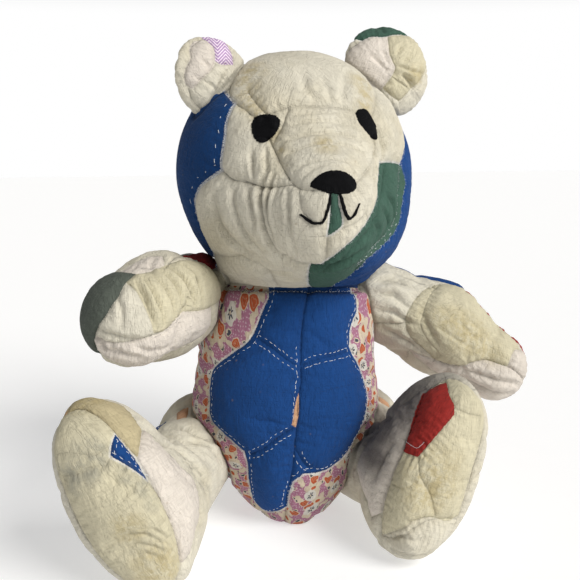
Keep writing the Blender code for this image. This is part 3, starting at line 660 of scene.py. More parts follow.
class Course:
    """A line over a skin, through places given as (around, up): curved, but sharp at its sharp corners."""

    STEP = radians(2.0)
    GROUP = 6
    SHARP = cos(radians(38.0))

    def __init__(self, skin, places, closed=False):
        knots = heading(places)
        count = len(knots)
        following = np.roll(knots, -1, axis=0) - knots
        entering = np.roll(following, 1, axis=0)
        smooth = np.sum(unit(following) * unit(entering), axis=1) > self.SHARP
        if not closed:
            smooth[[0, -1]] = False
        pieces = []
        for k in range(count if closed else count - 1):
            after = (k + 1) % count
            chord = following[k]
            length = np.linalg.norm(chord)
            leave = unit(unit(entering[k]) + unit(chord)) * length if smooth[k] else chord
            arrive = unit(unit(chord) + unit(following[after])) * length if smooth[after] else chord
            share = np.linspace(0, 1, max(2, int(length / self.STEP) + 1), endpoint=False)[:, None]
            pieces.append(curved(share, knots[k], leave, knots[after], arrive))
        pieces.append(knots[:1] if closed else knots[-1:])
        self.directions = unit(np.concatenate(pieces))
        self.points = skin.place(self.directions)
        self.normals = skin.normals_at(self.points)
        self.closed = closed
        lengths = np.linalg.norm(np.diff(self.points, axis=0), axis=1)
        self.along = np.concatenate([[0], np.cumsum(lengths)])
        self.length = self.along[-1]

    def at(self, places):
        """The points and the normals at these distances along the line."""
        return [
            np.stack([np.interp(places, self.along, values[:, axis]) for axis in range(3)], axis=-1)
            for values in (self.points, self.normals)
        ]

    def measure(self, points, reach=EDGE_REACH):
        """Each point's distance from the line, the place along it that is nearest, and its side, -1 or 1."""
        distance, along, side = np.full(len(points), reach), np.zeros(len(points)), np.ones(len(points))
        last = len(self.points) - 2
        for first in range(0, last + 1, self.GROUP):
            group = range(first, min(first + self.GROUP, last + 1))
            knots = self.points[first : group.stop + 1]
            middle = knots.mean(axis=0)
            radius = np.linalg.norm(knots - middle, axis=1).max() + reach
            close = np.flatnonzero(np.sum((points - middle) ** 2, axis=1) < radius**2)
            near, best = points[close], distance[close]
            where, hand = along[close], side[close]
            for k in group:
                start, step = self.points[k], self.points[k + 1] - self.points[k]
                raw = (near - start) @ step / max(step @ step, 1e-12)
                share = np.clip(raw, 0, 1)
                offset = near - start - share[:, None] * step
                apart = np.sqrt(np.sum(offset**2, axis=1))
                closer = apart < best
                best = np.where(closer, apart, best)
                where = np.where(closer, self.along[k] + share * (self.along[k + 1] - self.along[k]), where)
                turned = np.sign(offset @ np.cross(self.normals[k], step))
                if not self.closed:
                    turned[(k == 0) & (raw < 0) | (k == last) & (raw > 1)] = 1
                hand = np.where(closer, turned, hand)
            distance[close], along[close], side[close] = best, where, hand
        return distance, along, side

    def holds(self, directions):
        """Which directions lie inside the closed line."""
        centre = unit(self.directions.mean(axis=0))
        across = unit(np.cross(centre, (0.3, 0.4, 0.86)))
        up = np.cross(centre, across)

        def flatten(rays):
            angle = np.arccos(np.clip(rays @ centre, -1, 1))
            flat = np.stack([rays @ across, rays @ up], axis=-1)
            return flat * (angle / np.maximum(np.linalg.norm(flat, axis=1), 1e-9))[:, None]

        outline, places = flatten(self.directions), flatten(directions)
        within = np.zeros(len(places), bool)
        for (x0, y0), (x1, y1) in zip(outline[:-1], outline[1:]):
            crosses = (y0 > places[:, 1]) != (y1 > places[:, 1])
            if y0 != y1:
                within ^= crosses & (places[:, 0] < (x1 - x0) * (places[:, 1] - y0) / (y1 - y0) + x0)
        return within


def noise(points, size, seed=0):
    """Smooth noise from -1 to 1, with features about this many millimetres across."""
    scaled = points / size + seed * 17.3
    cell = np.floor(scaled).astype(np.int64)
    share = scaled - cell
    share = share * share * (3 - 2 * share)
    total = np.zeros(len(points))
    for corner in np.ndindex(2, 2, 2):
        x, y, z = (cell + corner).T
        mixed = (x * 73856093) ^ (y * 19349663) ^ (z * 83492791)
        mixed = (mixed ^ (mixed >> 13)) * 1274126177
        value = ((mixed >> 5) & 0xFFFF) / 32767.5 - 1
        weight = np.prod(np.where(corner, share, 1 - share), axis=1)
        total += weight * value
    return total


PATCH_PULL = 0.55
PATCH_PUCKER, RED_PUCKER = 0.3, 0.9
PUCKER_PITCH = 4.6


def sew(skin):
    """Draws the part's lines, and works out its cloth distances, its seams and how far they lift it."""
    lines, layers = [], []
    for cloth, course in skin.patches:
        distance, along, _ = course.measure(skin.points)
        signed = np.where(course.holds(skin.directions), distance, -distance)
        layers.append((cloth, signed))
        lines.append(dict(
            course=course, cloth=cloth, layer=len(layers) - 1, pull=PATCH_PULL,
            pucker=RED_PUCKER if cloth == "red" else PATCH_PUCKER,
            distance=distance, along=along, side=np.sign(signed),
        ))
    for pull, pucker, course in skin.seams:
        distance, along, side = course.measure(skin.points)
        lines.append(dict(course=course, pull=pull, pucker=pucker, distance=distance, along=along, side=side))
    cloths = {cloth: np.full(len(skin.points), -EDGE_REACH) for cloth in CLOTHS}
    if skin.name == "body":
        cloths["calico"][:] = EDGE_REACH
    for cloth, signed in layers:
        cloths[cloth] = np.maximum(cloths[cloth], signed)
    for line in lines:
        line["hidden"] = np.zeros(len(skin.points), bool)
        for above, (_, signed) in enumerate(layers):
            if above > line.get("layer", len(layers)):
                line["hidden"] |= signed > 0
    return lines, cloths


def ditches(lines, width, spread):
    """How deep the seams pull the cloth in: a narrow ditch, and a shallow valley around it."""
    depth = 0
    for line in lines:
        shown = np.where(line["hidden"], 0.0, line["pull"])
        depth = np.maximum(depth, shown * (0.6 * np.exp(-((line["distance"] / width) ** 2))
                                           + 0.4 * np.exp(-line["distance"] / spread)))
    return depth


def puckers(lines):
    """Small ridges square to each seam, fading away from it."""
    height = 0
    for number, line in enumerate(lines):
        distance, along = line["distance"], line["along"]
        phase = noise(np.stack([along, along * 0, along * 0 + 50 * number], axis=-1), 14.0, 3)
        wave = np.cos(2 * pi * along / PUCKER_PITCH + 6 * phase)
        strength = 0.5 + 0.5 * noise(np.stack([along * 0, along, along * 0 + 50 * number], axis=-1), 22.0, 5)
        lift = line["pucker"] * strength * wave * distance / (distance + 1.2) * np.exp(-distance / 5)
        height = height + np.where(line["hidden"], 0.0, lift)
    return height


def folded(skin):
    """The heights of the part's own folds, and how deep each place lies in the bottom of one."""
    height, bottom = np.zeros((2, len(skin.points)))
    for depth, width, course in skin.folds:
        distance, along, _ = course.measure(skin.points, 4 * width)
        fade = depth * np.clip(np.sin(pi * along / course.length), 0, 1) ** 0.6
        valley = np.exp(-((distance / width) ** 2))
        ridge = np.exp(-(((distance - 1.9 * width) / width) ** 2))
        height += fade * (0.5 * ridge - valley)
        bottom = np.maximum(bottom, fade * np.exp(-((distance / (0.5 * width)) ** 2)))
    return height, bottom


def creased(skin):
    """The small creases of worn cotton, as heights."""
    height = np.zeros(len(skin.points))
    for axis in range(3):
        stretched = into(skin.points, ORIGIN, skin.turn) * np.where(np.arange(3) == axis, 0.22, 1.0)
        small = noise(stretched, 3.6, 7 + axis)
        patchy = np.clip(noise(skin.points, 26.0, 11 + axis) + 0.3, 0, 1)
        height -= 0.4 * patchy * (1 - np.abs(small)) ** 3
    return height


def lumpy(skin):
    """The uneven stuffing, as heights."""
    return 0.5 * noise(skin.points, 34.0, 1) + 0.3 * noise(skin.points, 15.0, 2)


class Trial:
    """One part's cloth in Blender's cloth simulation, which settles well at ten times the size."""

    SCALE = 10 * MM
    HELD_WITHIN = 1.5  # of a seam, in millimetres
    FOLD_HOLD = 0.35
    GATHER_REACH = 2.5
    PRESSURE = 9.0
    SLACK = 0.05
    GATHER = 0.07
    START = -1.0  # the cloth starts a millimetre inside its plain shape
    MOST_OUT, MOST_ASIDE = 4.5, 3.5
    GROUND = 0.5  # cloth lower than this stays on the floor
    SMOOTHINGS = 60
    KEPT_SWELL = 0.3  # how much of the slow swelling stays: the rest would change the part's outline

    def __init__(self, skin):
        self.skin = skin
        lines, _ = sew(skin)
        height = self.START + lumpy(skin) - 1.3 * ditches(lines, 1.6, 4.0) + 0.6 * folded(skin)[0]
        start = skin.points + skin.normals * height[:, None]
        mesh = bpy.data.meshes.new(f"{skin.name}_trial")
        mesh.from_pydata((start * self.SCALE).tolist(), [], skin.faces.tolist())
        self.body = bpy.data.objects.new(f"{skin.name}_trial", mesh)
        bpy.context.scene.collection.objects.link(self.body)
        self.weigh("held", self.held(lines))
        self.weigh("gathered", self.gathered(lines))
        self.make_cloth()

    def held(self, lines):
        """How firmly seams, folds, the neck's edge and the floor hold each point, from 0 to 1."""
        skin = self.skin
        hold = np.zeros(len(skin.points))
        for line in lines:
            hold = np.maximum(hold, ~line["hidden"] * line["pull"] * (line["distance"] < self.HELD_WITHIN))
        for _, width, course in skin.folds:
            distance, _, _ = course.measure(skin.points, width)
            hold = np.maximum(hold, self.FOLD_HOLD * (distance < 0.6 * width))
        neck = into(skin.points, BODY_SEAT, rotation(BODY_TURN))[:, 2] - NECK_HEIGHT
        if skin.name == "head":
            hold[neck < 1] = 1
        if skin.name == "body":
            hold[neck > -NECK_OVERLAP] = 1
        hold[skin.points[:, 2] < self.GROUND] = 1
        return hold

    def gathered(self, lines):
        """How much of the cloth's gathering each point has, from 0 to 1: most at the puckered seams."""
        gather = np.zeros(len(self.skin.points))
        for line in lines:
            near = np.exp(-line["distance"] / self.GATHER_REACH)
            gather = np.maximum(gather, ~line["hidden"] * line["pucker"] * near)
        return gather

    def make_cloth(self):
        cloth = self.body.modifiers.new("cloth", "CLOTH")
        cloth.collision_settings.use_collision = False
        settings = cloth.settings
        settings.quality = 3
        settings.use_pressure = True
        settings.uniform_pressure_force = self.PRESSURE
        settings.vertex_group_mass = "held"
        settings.vertex_group_shrink = "gathered"
        settings.shrink_min, settings.shrink_max = -self.SLACK, self.GATHER
        settings.effector_weights.gravity = 0

    def weigh(self, name, weights):
        """Gives the trial's mesh a vertex group of these weights, in ten steps."""
        group = self.body.vertex_groups.new(name=name)
        levels = np.round(np.clip(weights, 0, 1) * 10).astype(int)
        for level in range(1, 11):
            group.add(np.flatnonzero(levels == level).tolist(), level / 10, "REPLACE")

    def smooth(self, values):
        """Values averaged over about 12 mm of the cloth."""
        a, b = self.skin.faces.ravel(), np.roll(self.skin.faces, -1, axis=1).ravel()
        count = np.bincount(a, minlength=len(values)) + np.bincount(b, minlength=len(values))
        for _ in range(self.SMOOTHINGS):
            total = np.bincount(a, values[b], len(values)) + np.bincount(b, values[a], len(values))
            values = (values + total / count) / 2
        return values

    def finish(self, graph):
        """Moves the skin to where the cloth came to rest, and clears the trial away."""
        mesh = self.body.evaluated_get(graph).to_mesh()
        places = np.empty(len(mesh.vertices) * 3, np.float32)
        mesh.vertices.foreach_get("co", places)
        moved = places.reshape(-1, 3) / self.SCALE - self.skin.points
        out = np.sum(moved * self.skin.normals, axis=1)
        out -= (1 - self.KEPT_SWELL) * self.smooth(out)
        aside = moved - out[:, None] * self.skin.normals
        length = np.linalg.norm(aside, axis=1, keepdims=True)
        aside *= np.minimum(1, self.MOST_ASIDE / np.maximum(length, 1e-9))
        self.skin.moved = aside + np.clip(out, -self.MOST_OUT, self.MOST_OUT)[:, None] * self.skin.normals
        bpy.data.objects.remove(self.body)


FRAMES = 14


def swell(skins):
    """Blows the cloth up between the seams that hold it, which leaves the puckers of a stuffed toy."""
    trials = [Trial(skin) for skin in skins.values()]
    for frame_number in range(1, FRAMES + 1):
        bpy.context.scene.frame_set(frame_number)
    graph = bpy.context.evaluated_depsgraph_get()
    for trial in trials:
        trial.finish(graph)
    bpy.context.scene.frame_set(1)


# Meshes.


def new_mesh(name, points, faces):
    """A piece from points in millimetres."""
    mesh = bpy.data.meshes.new(name)
    points = (np.asarray(points) + SHIFT) * MM
    faces = np.asarray(faces)
    mesh.vertices.add(len(points))
    mesh.vertices.foreach_set("co", points.astype(np.float32).ravel())
    mesh.loops.add(faces.size)
    mesh.loops.foreach_set("vertex_index", faces.astype(np.int32).ravel())
    mesh.polygons.add(len(faces))
    mesh.polygons.foreach_set("loop_start", np.arange(0, faces.size, faces.shape[1], dtype=np.int32))
    mesh.update(calc_edges=True)
    mesh.validate()
    mesh.polygons.foreach_set("use_smooth", np.ones(len(mesh.polygons), bool))
    made = bpy.data.objects.new(name, mesh)
    bpy.context.scene.collection.objects.link(made)
    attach(made, "root")
    return made


def keep_attribute(mesh, name, values, domain="POINT"):
    layer = mesh.attributes.new(name, "FLOAT", domain)
    layer.data.foreach_set("value", np.asarray(values, np.float32).ravel())


def seam_distances(skin, lines):
    """Each face corner's signed distance from the line nearest to its face, and that line's pull."""
    best = np.full(len(skin.faces), np.inf)
    chosen = np.full(skin.faces.shape, EDGE_REACH)
    depths = np.zeros(skin.faces.shape)
    for line in lines:
        signed = np.where(line["side"] < 0, -line["distance"], line["distance"])
        corners = signed[skin.faces]
        nearness = np.abs(corners.mean(axis=1))
        shown = ~line["hidden"][skin.faces].any(axis=1)
        closer = (nearness < best) & shown
        best[closer] = nearness[closer]
        chosen[closer] = corners[closer]
        depths[closer] = line["pull"]
    return chosen, depths


def cloth_coordinates(skin):
    """Where each corner of each face lies on its flat cloth, in millimetres: four gores round the part."""
    local = into(skin.points, skin.spine[0], skin.turn)
    around = np.arctan2(local[:, 0], -local[:, 1])
    radius = np.linalg.norm(local, axis=1)
    up = np.arcsin(np.clip(local[:, 2] / radius, -1, 1)) * np.median(radius)
    ring = np.hypot(local[:, 0], local[:, 1])
    middles = local[skin.faces].mean(axis=1)
    gore = np.floor(np.arctan2(middles[:, 0], -middles[:, 1]) / (pi / 2)) * (pi / 2) + pi / 4
    turned = around[skin.faces] - gore[:, None]
    turned = (turned + pi) % (2 * pi) - pi
    across = turned * ring[skin.faces] + gore[:, None] * 100
    return np.stack([across, up[skin.faces]], axis=-1)


def stained(skin, kind):
    total = np.zeros(len(skin.points))
    for around, up, radius in STAINS[kind].get(skin.name, ()):
        angle = np.degrees(np.arccos(np.clip(skin.directions @ heading([(around, up)])[0], -1, 1)))
        total = np.maximum(total, np.clip(1.3 - angle / radius, 0, 1))
    return total


def make_skins():
    """The six stuffed parts and the two ears, by name."""
    skins = {}
    turn = rotation(HEAD_TURN)
    skins["head"] = Skin("head", head, out_of([FACE_ROOT], HEAD_CENTRE, turn), turn)
    turn = rotation(BODY_TURN)
    rise = np.add(BODY_MIDDLE, (0.0, 0.0, BODY_RISE))
    skins["body"] = Skin("body", body, out_of([BODY_MIDDLE, rise], BODY_SEAT, turn), turn)
    for side, shape in EARS.items():
        head_turn = rotation(HEAD_TURN)
        spine = out_of([shape["centre"]], HEAD_CENTRE, head_turn)
        skins[f"ear_{side}"] = Skin(f"ear_{side}", ear(side), spine, head_turn @ rotation(shape["turn"]))
    for side, (shoulder, elbow, paw) in ARMS.items():
        turn = seam_frame(np.subtract(shoulder[0], paw[0]), np.array((0.0, 0.0, 1.0)))
        skins[f"arm_{side}"] = Skin(f"arm_{side}", arm(side), (elbow[0], shoulder[0], paw[0]), turn)
    for side, shape in LEGS.items():
        outward = 1 if side == "left" else -1
        foot_turn = foot_rotation(shape["turn"])
        spine = (out_of(HEEL_ROOT, shape["foot"], foot_turn), shape["hip"][0])
        seam_end = np.add(shape["hip"][0], (outward * HIP_SEAM, 0.0, 0.0))
        turn = seam_frame(seam_end - spine[0], foot_turn[:, 2])
        skins[f"leg_{side}"] = Skin(f"leg_{side}", leg(side), spine, turn)
    return skins


PANELS = {
    "head": ("head_gusset", "head_side_right", "head_side_left", "head_stuffing"),
    "body": ("body_front_right", "body_front_left", "body_back_right", "body_back_left", "body_stuffing"),
}
for side in ("right", "left"):
    PANELS[f"ear_{side}"] = (f"ear_{side}_front", f"ear_{side}_back")
    PANELS[f"arm_{side}"] = (f"arm_{side}_front", f"arm_{side}_back", f"arm_{side}_stuffing")
    PANELS[f"leg_{side}"] = (f"leg_{side}_inner", f"leg_{side}_outer", f"sole_{side}", f"leg_{side}_stuffing")


class Cover:
    """Finds places on the finished cloth of one part."""

    def __init__(self, plain, finished, faces):
        self.faces, self.plain, self.shift = faces, plain, finished - plain
        self.plain_tree = BVHTree.FromPolygons(plain.tolist(), faces.tolist())
        self.tree = BVHTree.FromPolygons(finished.tolist(), faces.tolist())

    def carry(self, point):
        """Where a point of the plain shape went with the cloth."""
        _, _, index, _ = self.plain_tree.find_nearest(Vector(point))
        corners = self.faces[index]
        share = 1 / (np.sum((self.plain[corners] - point) ** 2, axis=1) + 1e-3)
        return point + share @ self.shift[corners] / share.sum()


# Which parts each kind of part is sewn to.
JOINED = {
    "head": ("ear_right", "ear_left", "arm_right", "arm_left", "body"),
    "body": ("arm_right", "arm_left", "leg_right", "leg_left", "head"),
    "ear": ("head",),
    "arm": ("body", "head"),
    "leg": ("body",),
}


def beside(skin, skins):
    """How far each point is from the parts that its own is sewn to."""
    apart = np.full(len(skin.points), EDGE_REACH)
    for name in JOINED[skin.kind]:
        apart = np.minimum(apart, np.abs(skins[name].distance(skin.points)))
    return apart


# How much of each relief the finished cloth has on top of the simulated one.
SEAM_DEPTH, PUCKER_HEIGHT, FOLD_DEPTH = 0.8, 1.5, 0.8
JOINT_DEPTH, JOINT_WIDTH = 1.6, 2.2


def dress(skin, material):
    """The finished cloth of one part. Returns what finds places on it, and its lines."""
    skin.refine()
    lines, cloths = sew(skin)
    height = creased(skin) - SEAM_DEPTH * ditches(lines, 0.7, 1.6) + PUCKER_HEIGHT * puckers(lines)
    folds, bottoms = folded(skin)
    height += FOLD_DEPTH * folds
    joint = beside(skin, skins)
    height -= JOINT_DEPTH * np.exp(-((joint / JOINT_WIDTH) ** 2))
    height[skin.points[:, 2] < Trial.GROUND] = 0
    points = skin.points + skin.moved + skin.normals * height[:, None]
    points[:, 2] = np.maximum(points[:, 2], 0.0)
    piece = new_mesh(f"{skin.name}_cloth", points, skin.faces)
    for cloth, values in cloths.items():
        keep_attribute(piece.data, cloth, values)
    keep_attribute(piece.data, "joint", joint)
    keep_attribute(piece.data, "fold", bottoms)
    for kind in STAINS:
        keep_attribute(piece.data, f"{kind}_stain", stained(skin, kind))
    distances, depths = seam_distances(skin, lines)
    keep_attribute(piece.data, "seam", distances, "CORNER")
    keep_attribute(piece.data, "seam_depth", depths, "CORNER")
    layer = piece.data.uv_layers.new(name="cloth")
    layer.data.foreach_set("uv", (cloth_coordinates(skin) / CLOTH_UNIT).astype(np.float32).ravel())
    piece.data.materials.append(material)
    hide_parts(*PANELS[skin.name])
    return Cover(skin.points, points, skin.faces), lines


# Materials.


class Field:
    """A value or colour that varies over a material. Sums and products of values become nodes."""

    def __init__(self, nodes, socket):
        self.nodes, self.socket = nodes, socket

    def __add__(self, other):
        return self.nodes.math("ADD", self, other)

    def __sub__(self, other):
        return self.nodes.math("SUBTRACT", self, other)

    def __mul__(self, other):
        return self.nodes.math("MULTIPLY", self, other)

    def __abs__(self):
        return self.nodes.math("ABSOLUTE", self)


class Nodes:
    """The nodes of one material."""

    def __init__(self, name, **finish):
        self.material = bpy.data.materials.new(name)
        self.material.use_nodes = True
        self.tree = self.material.node_tree
        self.shader = self.tree.nodes["Principled BSDF"]
        for socket, value in finish.items():
            self.shader.inputs[socket.replace("_", " ")].default_value = value

    def link(self, value, socket):
        if isinstance(value, Field):
            self.tree.links.new(value.socket, socket)
        else:
            socket.default_value = value

    def add(self, kind, inputs, *outputs, **settings):
        """One node, and the outputs asked for: a field, or a list of them."""
        node = self.tree.nodes.new("ShaderNode" + kind)
        for name, setting in settings.items():
            setattr(node, name, setting)
        for name, value in inputs.items():
            self.link(value, node.inputs[name])
        fields = [Field(self, node.outputs[name]) for name in outputs]
        return fields[0] if len(fields) == 1 else fields

    def math(self, operation, *values):
        return self.add("Math", dict(enumerate(values)), 0, operation=operation)

    def vector(self, operation, *values):
        return self.add("VectorMath", dict(enumerate(values)), 0, operation=operation)

    def shade(self, colour, amount):
        """A vector made longer or shorter, or a colour made lighter or darker."""
        return self.add("VectorMath", {0: colour, "Scale": amount}, 0, operation="SCALE")

    def place(self):
        """Places on the toy in millimetres."""
        return self.shade(self.add("TexCoord", {}, "Object"), 1 / MM)

    def attribute(self, name):
        return self.add("Attribute", {}, "Fac", attribute_name=name)

    def noise(self, where, scale, detail=2.0, roughness=0.5):
        inputs = {"Vector": where, "Scale": scale, "Detail": detail, "Roughness": roughness}
        return self.add("TexNoise", inputs, "Fac")

    def cells(self, where, size, randomness, dimensions="2D"):
        """Scattered points about this far apart: the distance from the nearest, its place, and its colour."""
        inputs = {"Vector": self.shade(where, 1 / size), "Scale": 1.0, "Randomness": randomness}
        outputs = ("Distance", "Position", "Color")
        return self.add("TexVoronoi", inputs, *outputs, voronoi_dimensions=dimensions)

    def mix(self, factor, low, high):
        low, high = (colour if isinstance(colour, Field) else (*colour, 1.0) for colour in (low, high))
        return self.add("Mix", {0: factor, 6: low, 7: high}, 2, data_type="RGBA")

    def ramp(self, value, low, high):
        """0 below low, 1 above high and smooth between them."""
        inputs = {"Value": value, "From Min": low, "From Max": high}
        return self.add("MapRange", inputs, "Result", interpolation_type="SMOOTHSTEP")

    def cover(self, colour, height, depth):
        """Gives the material its colour and its relief, whose heights of 0 to 1 are this deep."""
        self.link(colour, self.shader.inputs["Base Color"])
        bump = self.add("Bump", {"Height": height, "Distance": depth, "Strength": 1.0}, 0)
        self.link(bump, self.shader.inputs["Normal"])
        return self.material


def flowers(nodes, where, cell, shift, petals, radius, waviness):
    """One flower to each cell of the print: how far a point is inside its outline, and from its middle."""
    moved = nodes.vector("ADD", where, (shift, shift * 0.7, 0.0))
    distance, middle, chance = nodes.cells(moved, cell, 0.75)
    offset = nodes.vector("SUBTRACT", nodes.shade(moved, 1 / cell), middle)
    x, y = nodes.add("SeparateXYZ", {0: offset}, "X", "Y")
    turned = nodes.math("ARCTAN2", y, x) * petals + nodes.add("SeparateColor", {0: chance}, "Green") * 6.0
    away = distance * cell
    return nodes.math("COSINE", turned) * (waviness * radius) + radius - away, away


MAUVE, MAUVE_DOT = (0.33, 0.145, 0.215), (0.47, 0.33, 0.37)
CREAM, CREAM_SHADE = (0.53, 0.45, 0.34), (0.47, 0.37, 0.30)
ORANGE, ORANGE_SHADE = (0.40, 0.085, 0.035), (0.44, 0.20, 0.12)
OVAL_WHITE = (0.56, 0.53, 0.48)
SEED_DARK = (0.06, 0.065, 0.085)


def calico(nodes, where):
    """A flowered print: cream blossoms, orange blobs and dark seeds on dotted mauve."""
    where = nodes.vector("ADD", where, nodes.shade((4.0, -3.0, 0.0), nodes.noise(where, 0.22)))
    dots, _, _ = nodes.cells(where, 1.7, 0.5)
    printed = nodes.mix(nodes.ramp(dots, 0.26, 0.18), MAUVE, MAUVE_DOT)

    def add(colour, level, *steps):
        """Prints a colour where the level is past one step, or between two."""
        shares = [nodes.ramp(level, *step) for step in steps]
        return nodes.mix(shares[0] if len(shares) == 1 else shares[0] * shares[1], printed, colour)

    seed, _ = flowers(nodes, where, 8.0, 31.0, 2.0, 1.15, 0.4)
    printed = add(CREAM, seed, (-0.55, -0.4))
    printed = add(SEED_DARK, seed, (0.0, 0.15))
    leaf, _ = flowers(nodes, where, 10.0, 43.0, 2.0, 2.2, 0.5)
    printed = add(CREAM, leaf, (-0.1, 0.1))
    petal, away = flowers(nodes, where, 16.0, 11.0, 5.0, 4.8, 0.2)
    printed = add(CREAM, petal, (-0.1, 0.1))
    printed = add(CREAM_SHADE, petal, (1.1, 0.7), (0.3, 0.6))
    printed = add(ORANGE, away, (1.5, 1.3))
    blob, _ = flowers(nodes, where, 13.0, 57.0, 3.0, 2.5, 0.15)
    printed = add(CREAM, blob, (-0.6, -0.4))
    printed = add(ORANGE, blob, (-0.1, 0.1))
    printed = add(ORANGE_SHADE, blob, (1.6, 1.3), (1.0, 1.2))
    oval, away = flowers(nodes, where, 17.0, 83.0, 2.0, 3.7, 0.14)
    printed = add(OVAL_WHITE, oval, (-0.1, 0.1))
    star, _ = flowers(nodes, where, 17.0, 83.0, 6.0, 1.6, 0.45)
    printed = add(SEED_DARK, star, (-0.1, 0.1))
    return add(CREAM, away, (0.8, 0.6))


def lilac(nodes, place):
    """White slanting stripes on mauve, in bands that lean both ways."""
    x, z = nodes.add("SeparateXYZ", {0: place}, "X", "Z")
    stripe = nodes.math("SINE", (z + nodes.math("PINGPONG", x, 5.0)) * 3.0)
    return nodes.mix(nodes.ramp(stripe, 0.1, 0.5), (0.40, 0.26, 0.46), (0.78, 0.68, 0.76))


FLAT_COLOURS = {
    "muslin": (0.595, 0.56, 0.465),
    "pale": (0.62, 0.565, 0.50),
    "yellowed": (0.545, 0.50, 0.36),
    "tan": (0.45, 0.385, 0.24),
    "green": (0.050, 0.105, 0.078),
    "slate": (0.085, 0.098, 0.082),
    "blue": (0.009, 0.050, 0.185),
    # a darker copy of the blue: painted shade for the blue patch on the head's right side
    "shaded_blue": (0.006, 0.036, 0.125),
    "red": (0.27, 0.024, 0.020),
    "peach": (0.55, 0.32, 0.19),
}
MUSLIN_AGED = (0.555, 0.51, 0.395)
SELVEDGE = (0.70, 0.68, 0.64)
FUZZ = (0.66, 0.65, 0.62)
SHADOW = (0.115, 0.103, 0.10)  # painted shade on the left leg's inner side, where it lies against the body, with some soiling
STAIN_TINTS = {"yellow": ((0.40, 0.32, 0.15), 0.65), "grey": ((0.19, 0.20, 0.19), 0.5)}
FOXING = (0.24, 0.17, 0.08)


def cloth_colours(nodes, place, where, fray):
    """The quilt's cloths laid over each other, by the distances from their edges that each part carries."""
    aged = nodes.ramp(nodes.noise(place, 0.022, 3.0), 0.45, 0.7)
    colour = nodes.mix(aged, FLAT_COLOURS["muslin"], MUSLIN_AGED)
    edges = nodes.math("MAXIMUM", nodes.attribute("blue"), nodes.attribute("green"))
    edges = nodes.math("MAXIMUM", nodes.attribute("shaded_blue"), edges)
    selvedge = nodes.ramp(fray * 2.2 + edges, -1.5, -0.6) * 0.75
    for cloth in CLOTHS:
        if cloth == "shaded_blue":
            colour = nodes.mix(selvedge, colour, SELVEDGE)
        if cloth == "calico":
            paint = calico(nodes, where)
        elif cloth == "lilac":
            paint = lilac(nodes, place)
        else:
            paint = FLAT_COLOURS[cloth]
        inner = nodes.ramp(nodes.attribute(cloth) + fray, -0.15, 0.15)
        colour = nodes.mix(inner, colour, paint)
        # painted shade, with some soiling, on the left leg's inner side
        if cloth == "pale":
            colour = nodes.mix(nodes.attribute("shade_and_soil_stain") * 0.93, colour, SHADOW)
    band = abs(nodes.attribute("shaded_blue") + (fray * 1.6 - 0.5))
    fuzz = nodes.ramp(band, 0.9, 0.45) * nodes.ramp(nodes.noise(place, 1.1, 3.0, 0.7), 0.38, 0.55)
    return nodes.mix(fuzz * 0.85, colour, FUZZ)


def stain(nodes, colour, place):
    """Yellow and grey stains, except on the red cloth, and small foxed spots."""
    blot = nodes.ramp(nodes.noise(place, 0.14, 5.0, 0.75), 0.34, 0.62)
    plain = nodes.ramp(nodes.attribute("red"), 0.3, -0.3)
    for kind, (tint, amount) in STAIN_TINTS.items():
        colour = nodes.mix(nodes.attribute(f"{kind}_stain") * blot * amount * plain, colour, tint)
    spots, _, _ = nodes.cells(place, 9.0, 1.0, "3D")
    foxed = nodes.ramp(spots, 0.13, 0.03) * nodes.ramp(nodes.noise(place, 0.03), 0.5, 0.6)
    return nodes.mix(foxed * 0.35, colour, FOXING)


def wear_and_shade(nodes, colour, place, fray, seam):
    """Worn grey cloth along the seams, and painted shade in their ditches, where the part meets the parts it
    is sewn to and in the bottoms of folds.
    """
    worn = nodes.ramp(seam, 4.0, 0.0) * nodes.ramp(nodes.noise(place, 0.25, 3.0), 0.35, 0.7)
    # painted shade where the part meets the parts it is sewn to
    tucked = nodes.ramp(fray * 1.5 + nodes.attribute("joint"), 2.6, 0.4)
    # painted shade in the seams' ditches, darker at the seams that pull harder
    ditch = nodes.ramp(seam, 0.6, 0.1) * nodes.ramp(nodes.noise(place, 0.3), 0.3, 0.65)
    ditch = ditch * nodes.ramp(nodes.attribute("seam_depth"), 0.3, 1.3)
    # painted shade in the bottoms of the folds
    fold_shade = nodes.ramp(nodes.attribute("fold"), 0.1, 1.8) * nodes.ramp(nodes.noise(place, 0.2), 0.15, 0.55)
    for mark, amount in ((worn, 0.14), (tucked, 0.4), (ditch, 0.6), (fold_shade, 0.42)):
        colour = nodes.shade(colour, mark * -amount + 1.0)
    return colour


def relief(nodes, place, where, slub, seam):
    """The weave, small crinkles, the ditches of the seams and sharp wrinkles, as heights."""
    wrinkle = nodes.noise(nodes.vector("MULTIPLY", where, (0.30, 0.11, 1.0)), 1.0, 3.0, 0.6)
    wrinkle = nodes.ramp(abs(wrinkle - 0.5), 0.0, 0.05)
    height = slub * 0.3 + nodes.noise(place, 0.35, 4.0, 0.6) * 0.5
    return height + nodes.ramp(seam, 0.0, 1.1) * 0.4 + wrinkle * 0.22


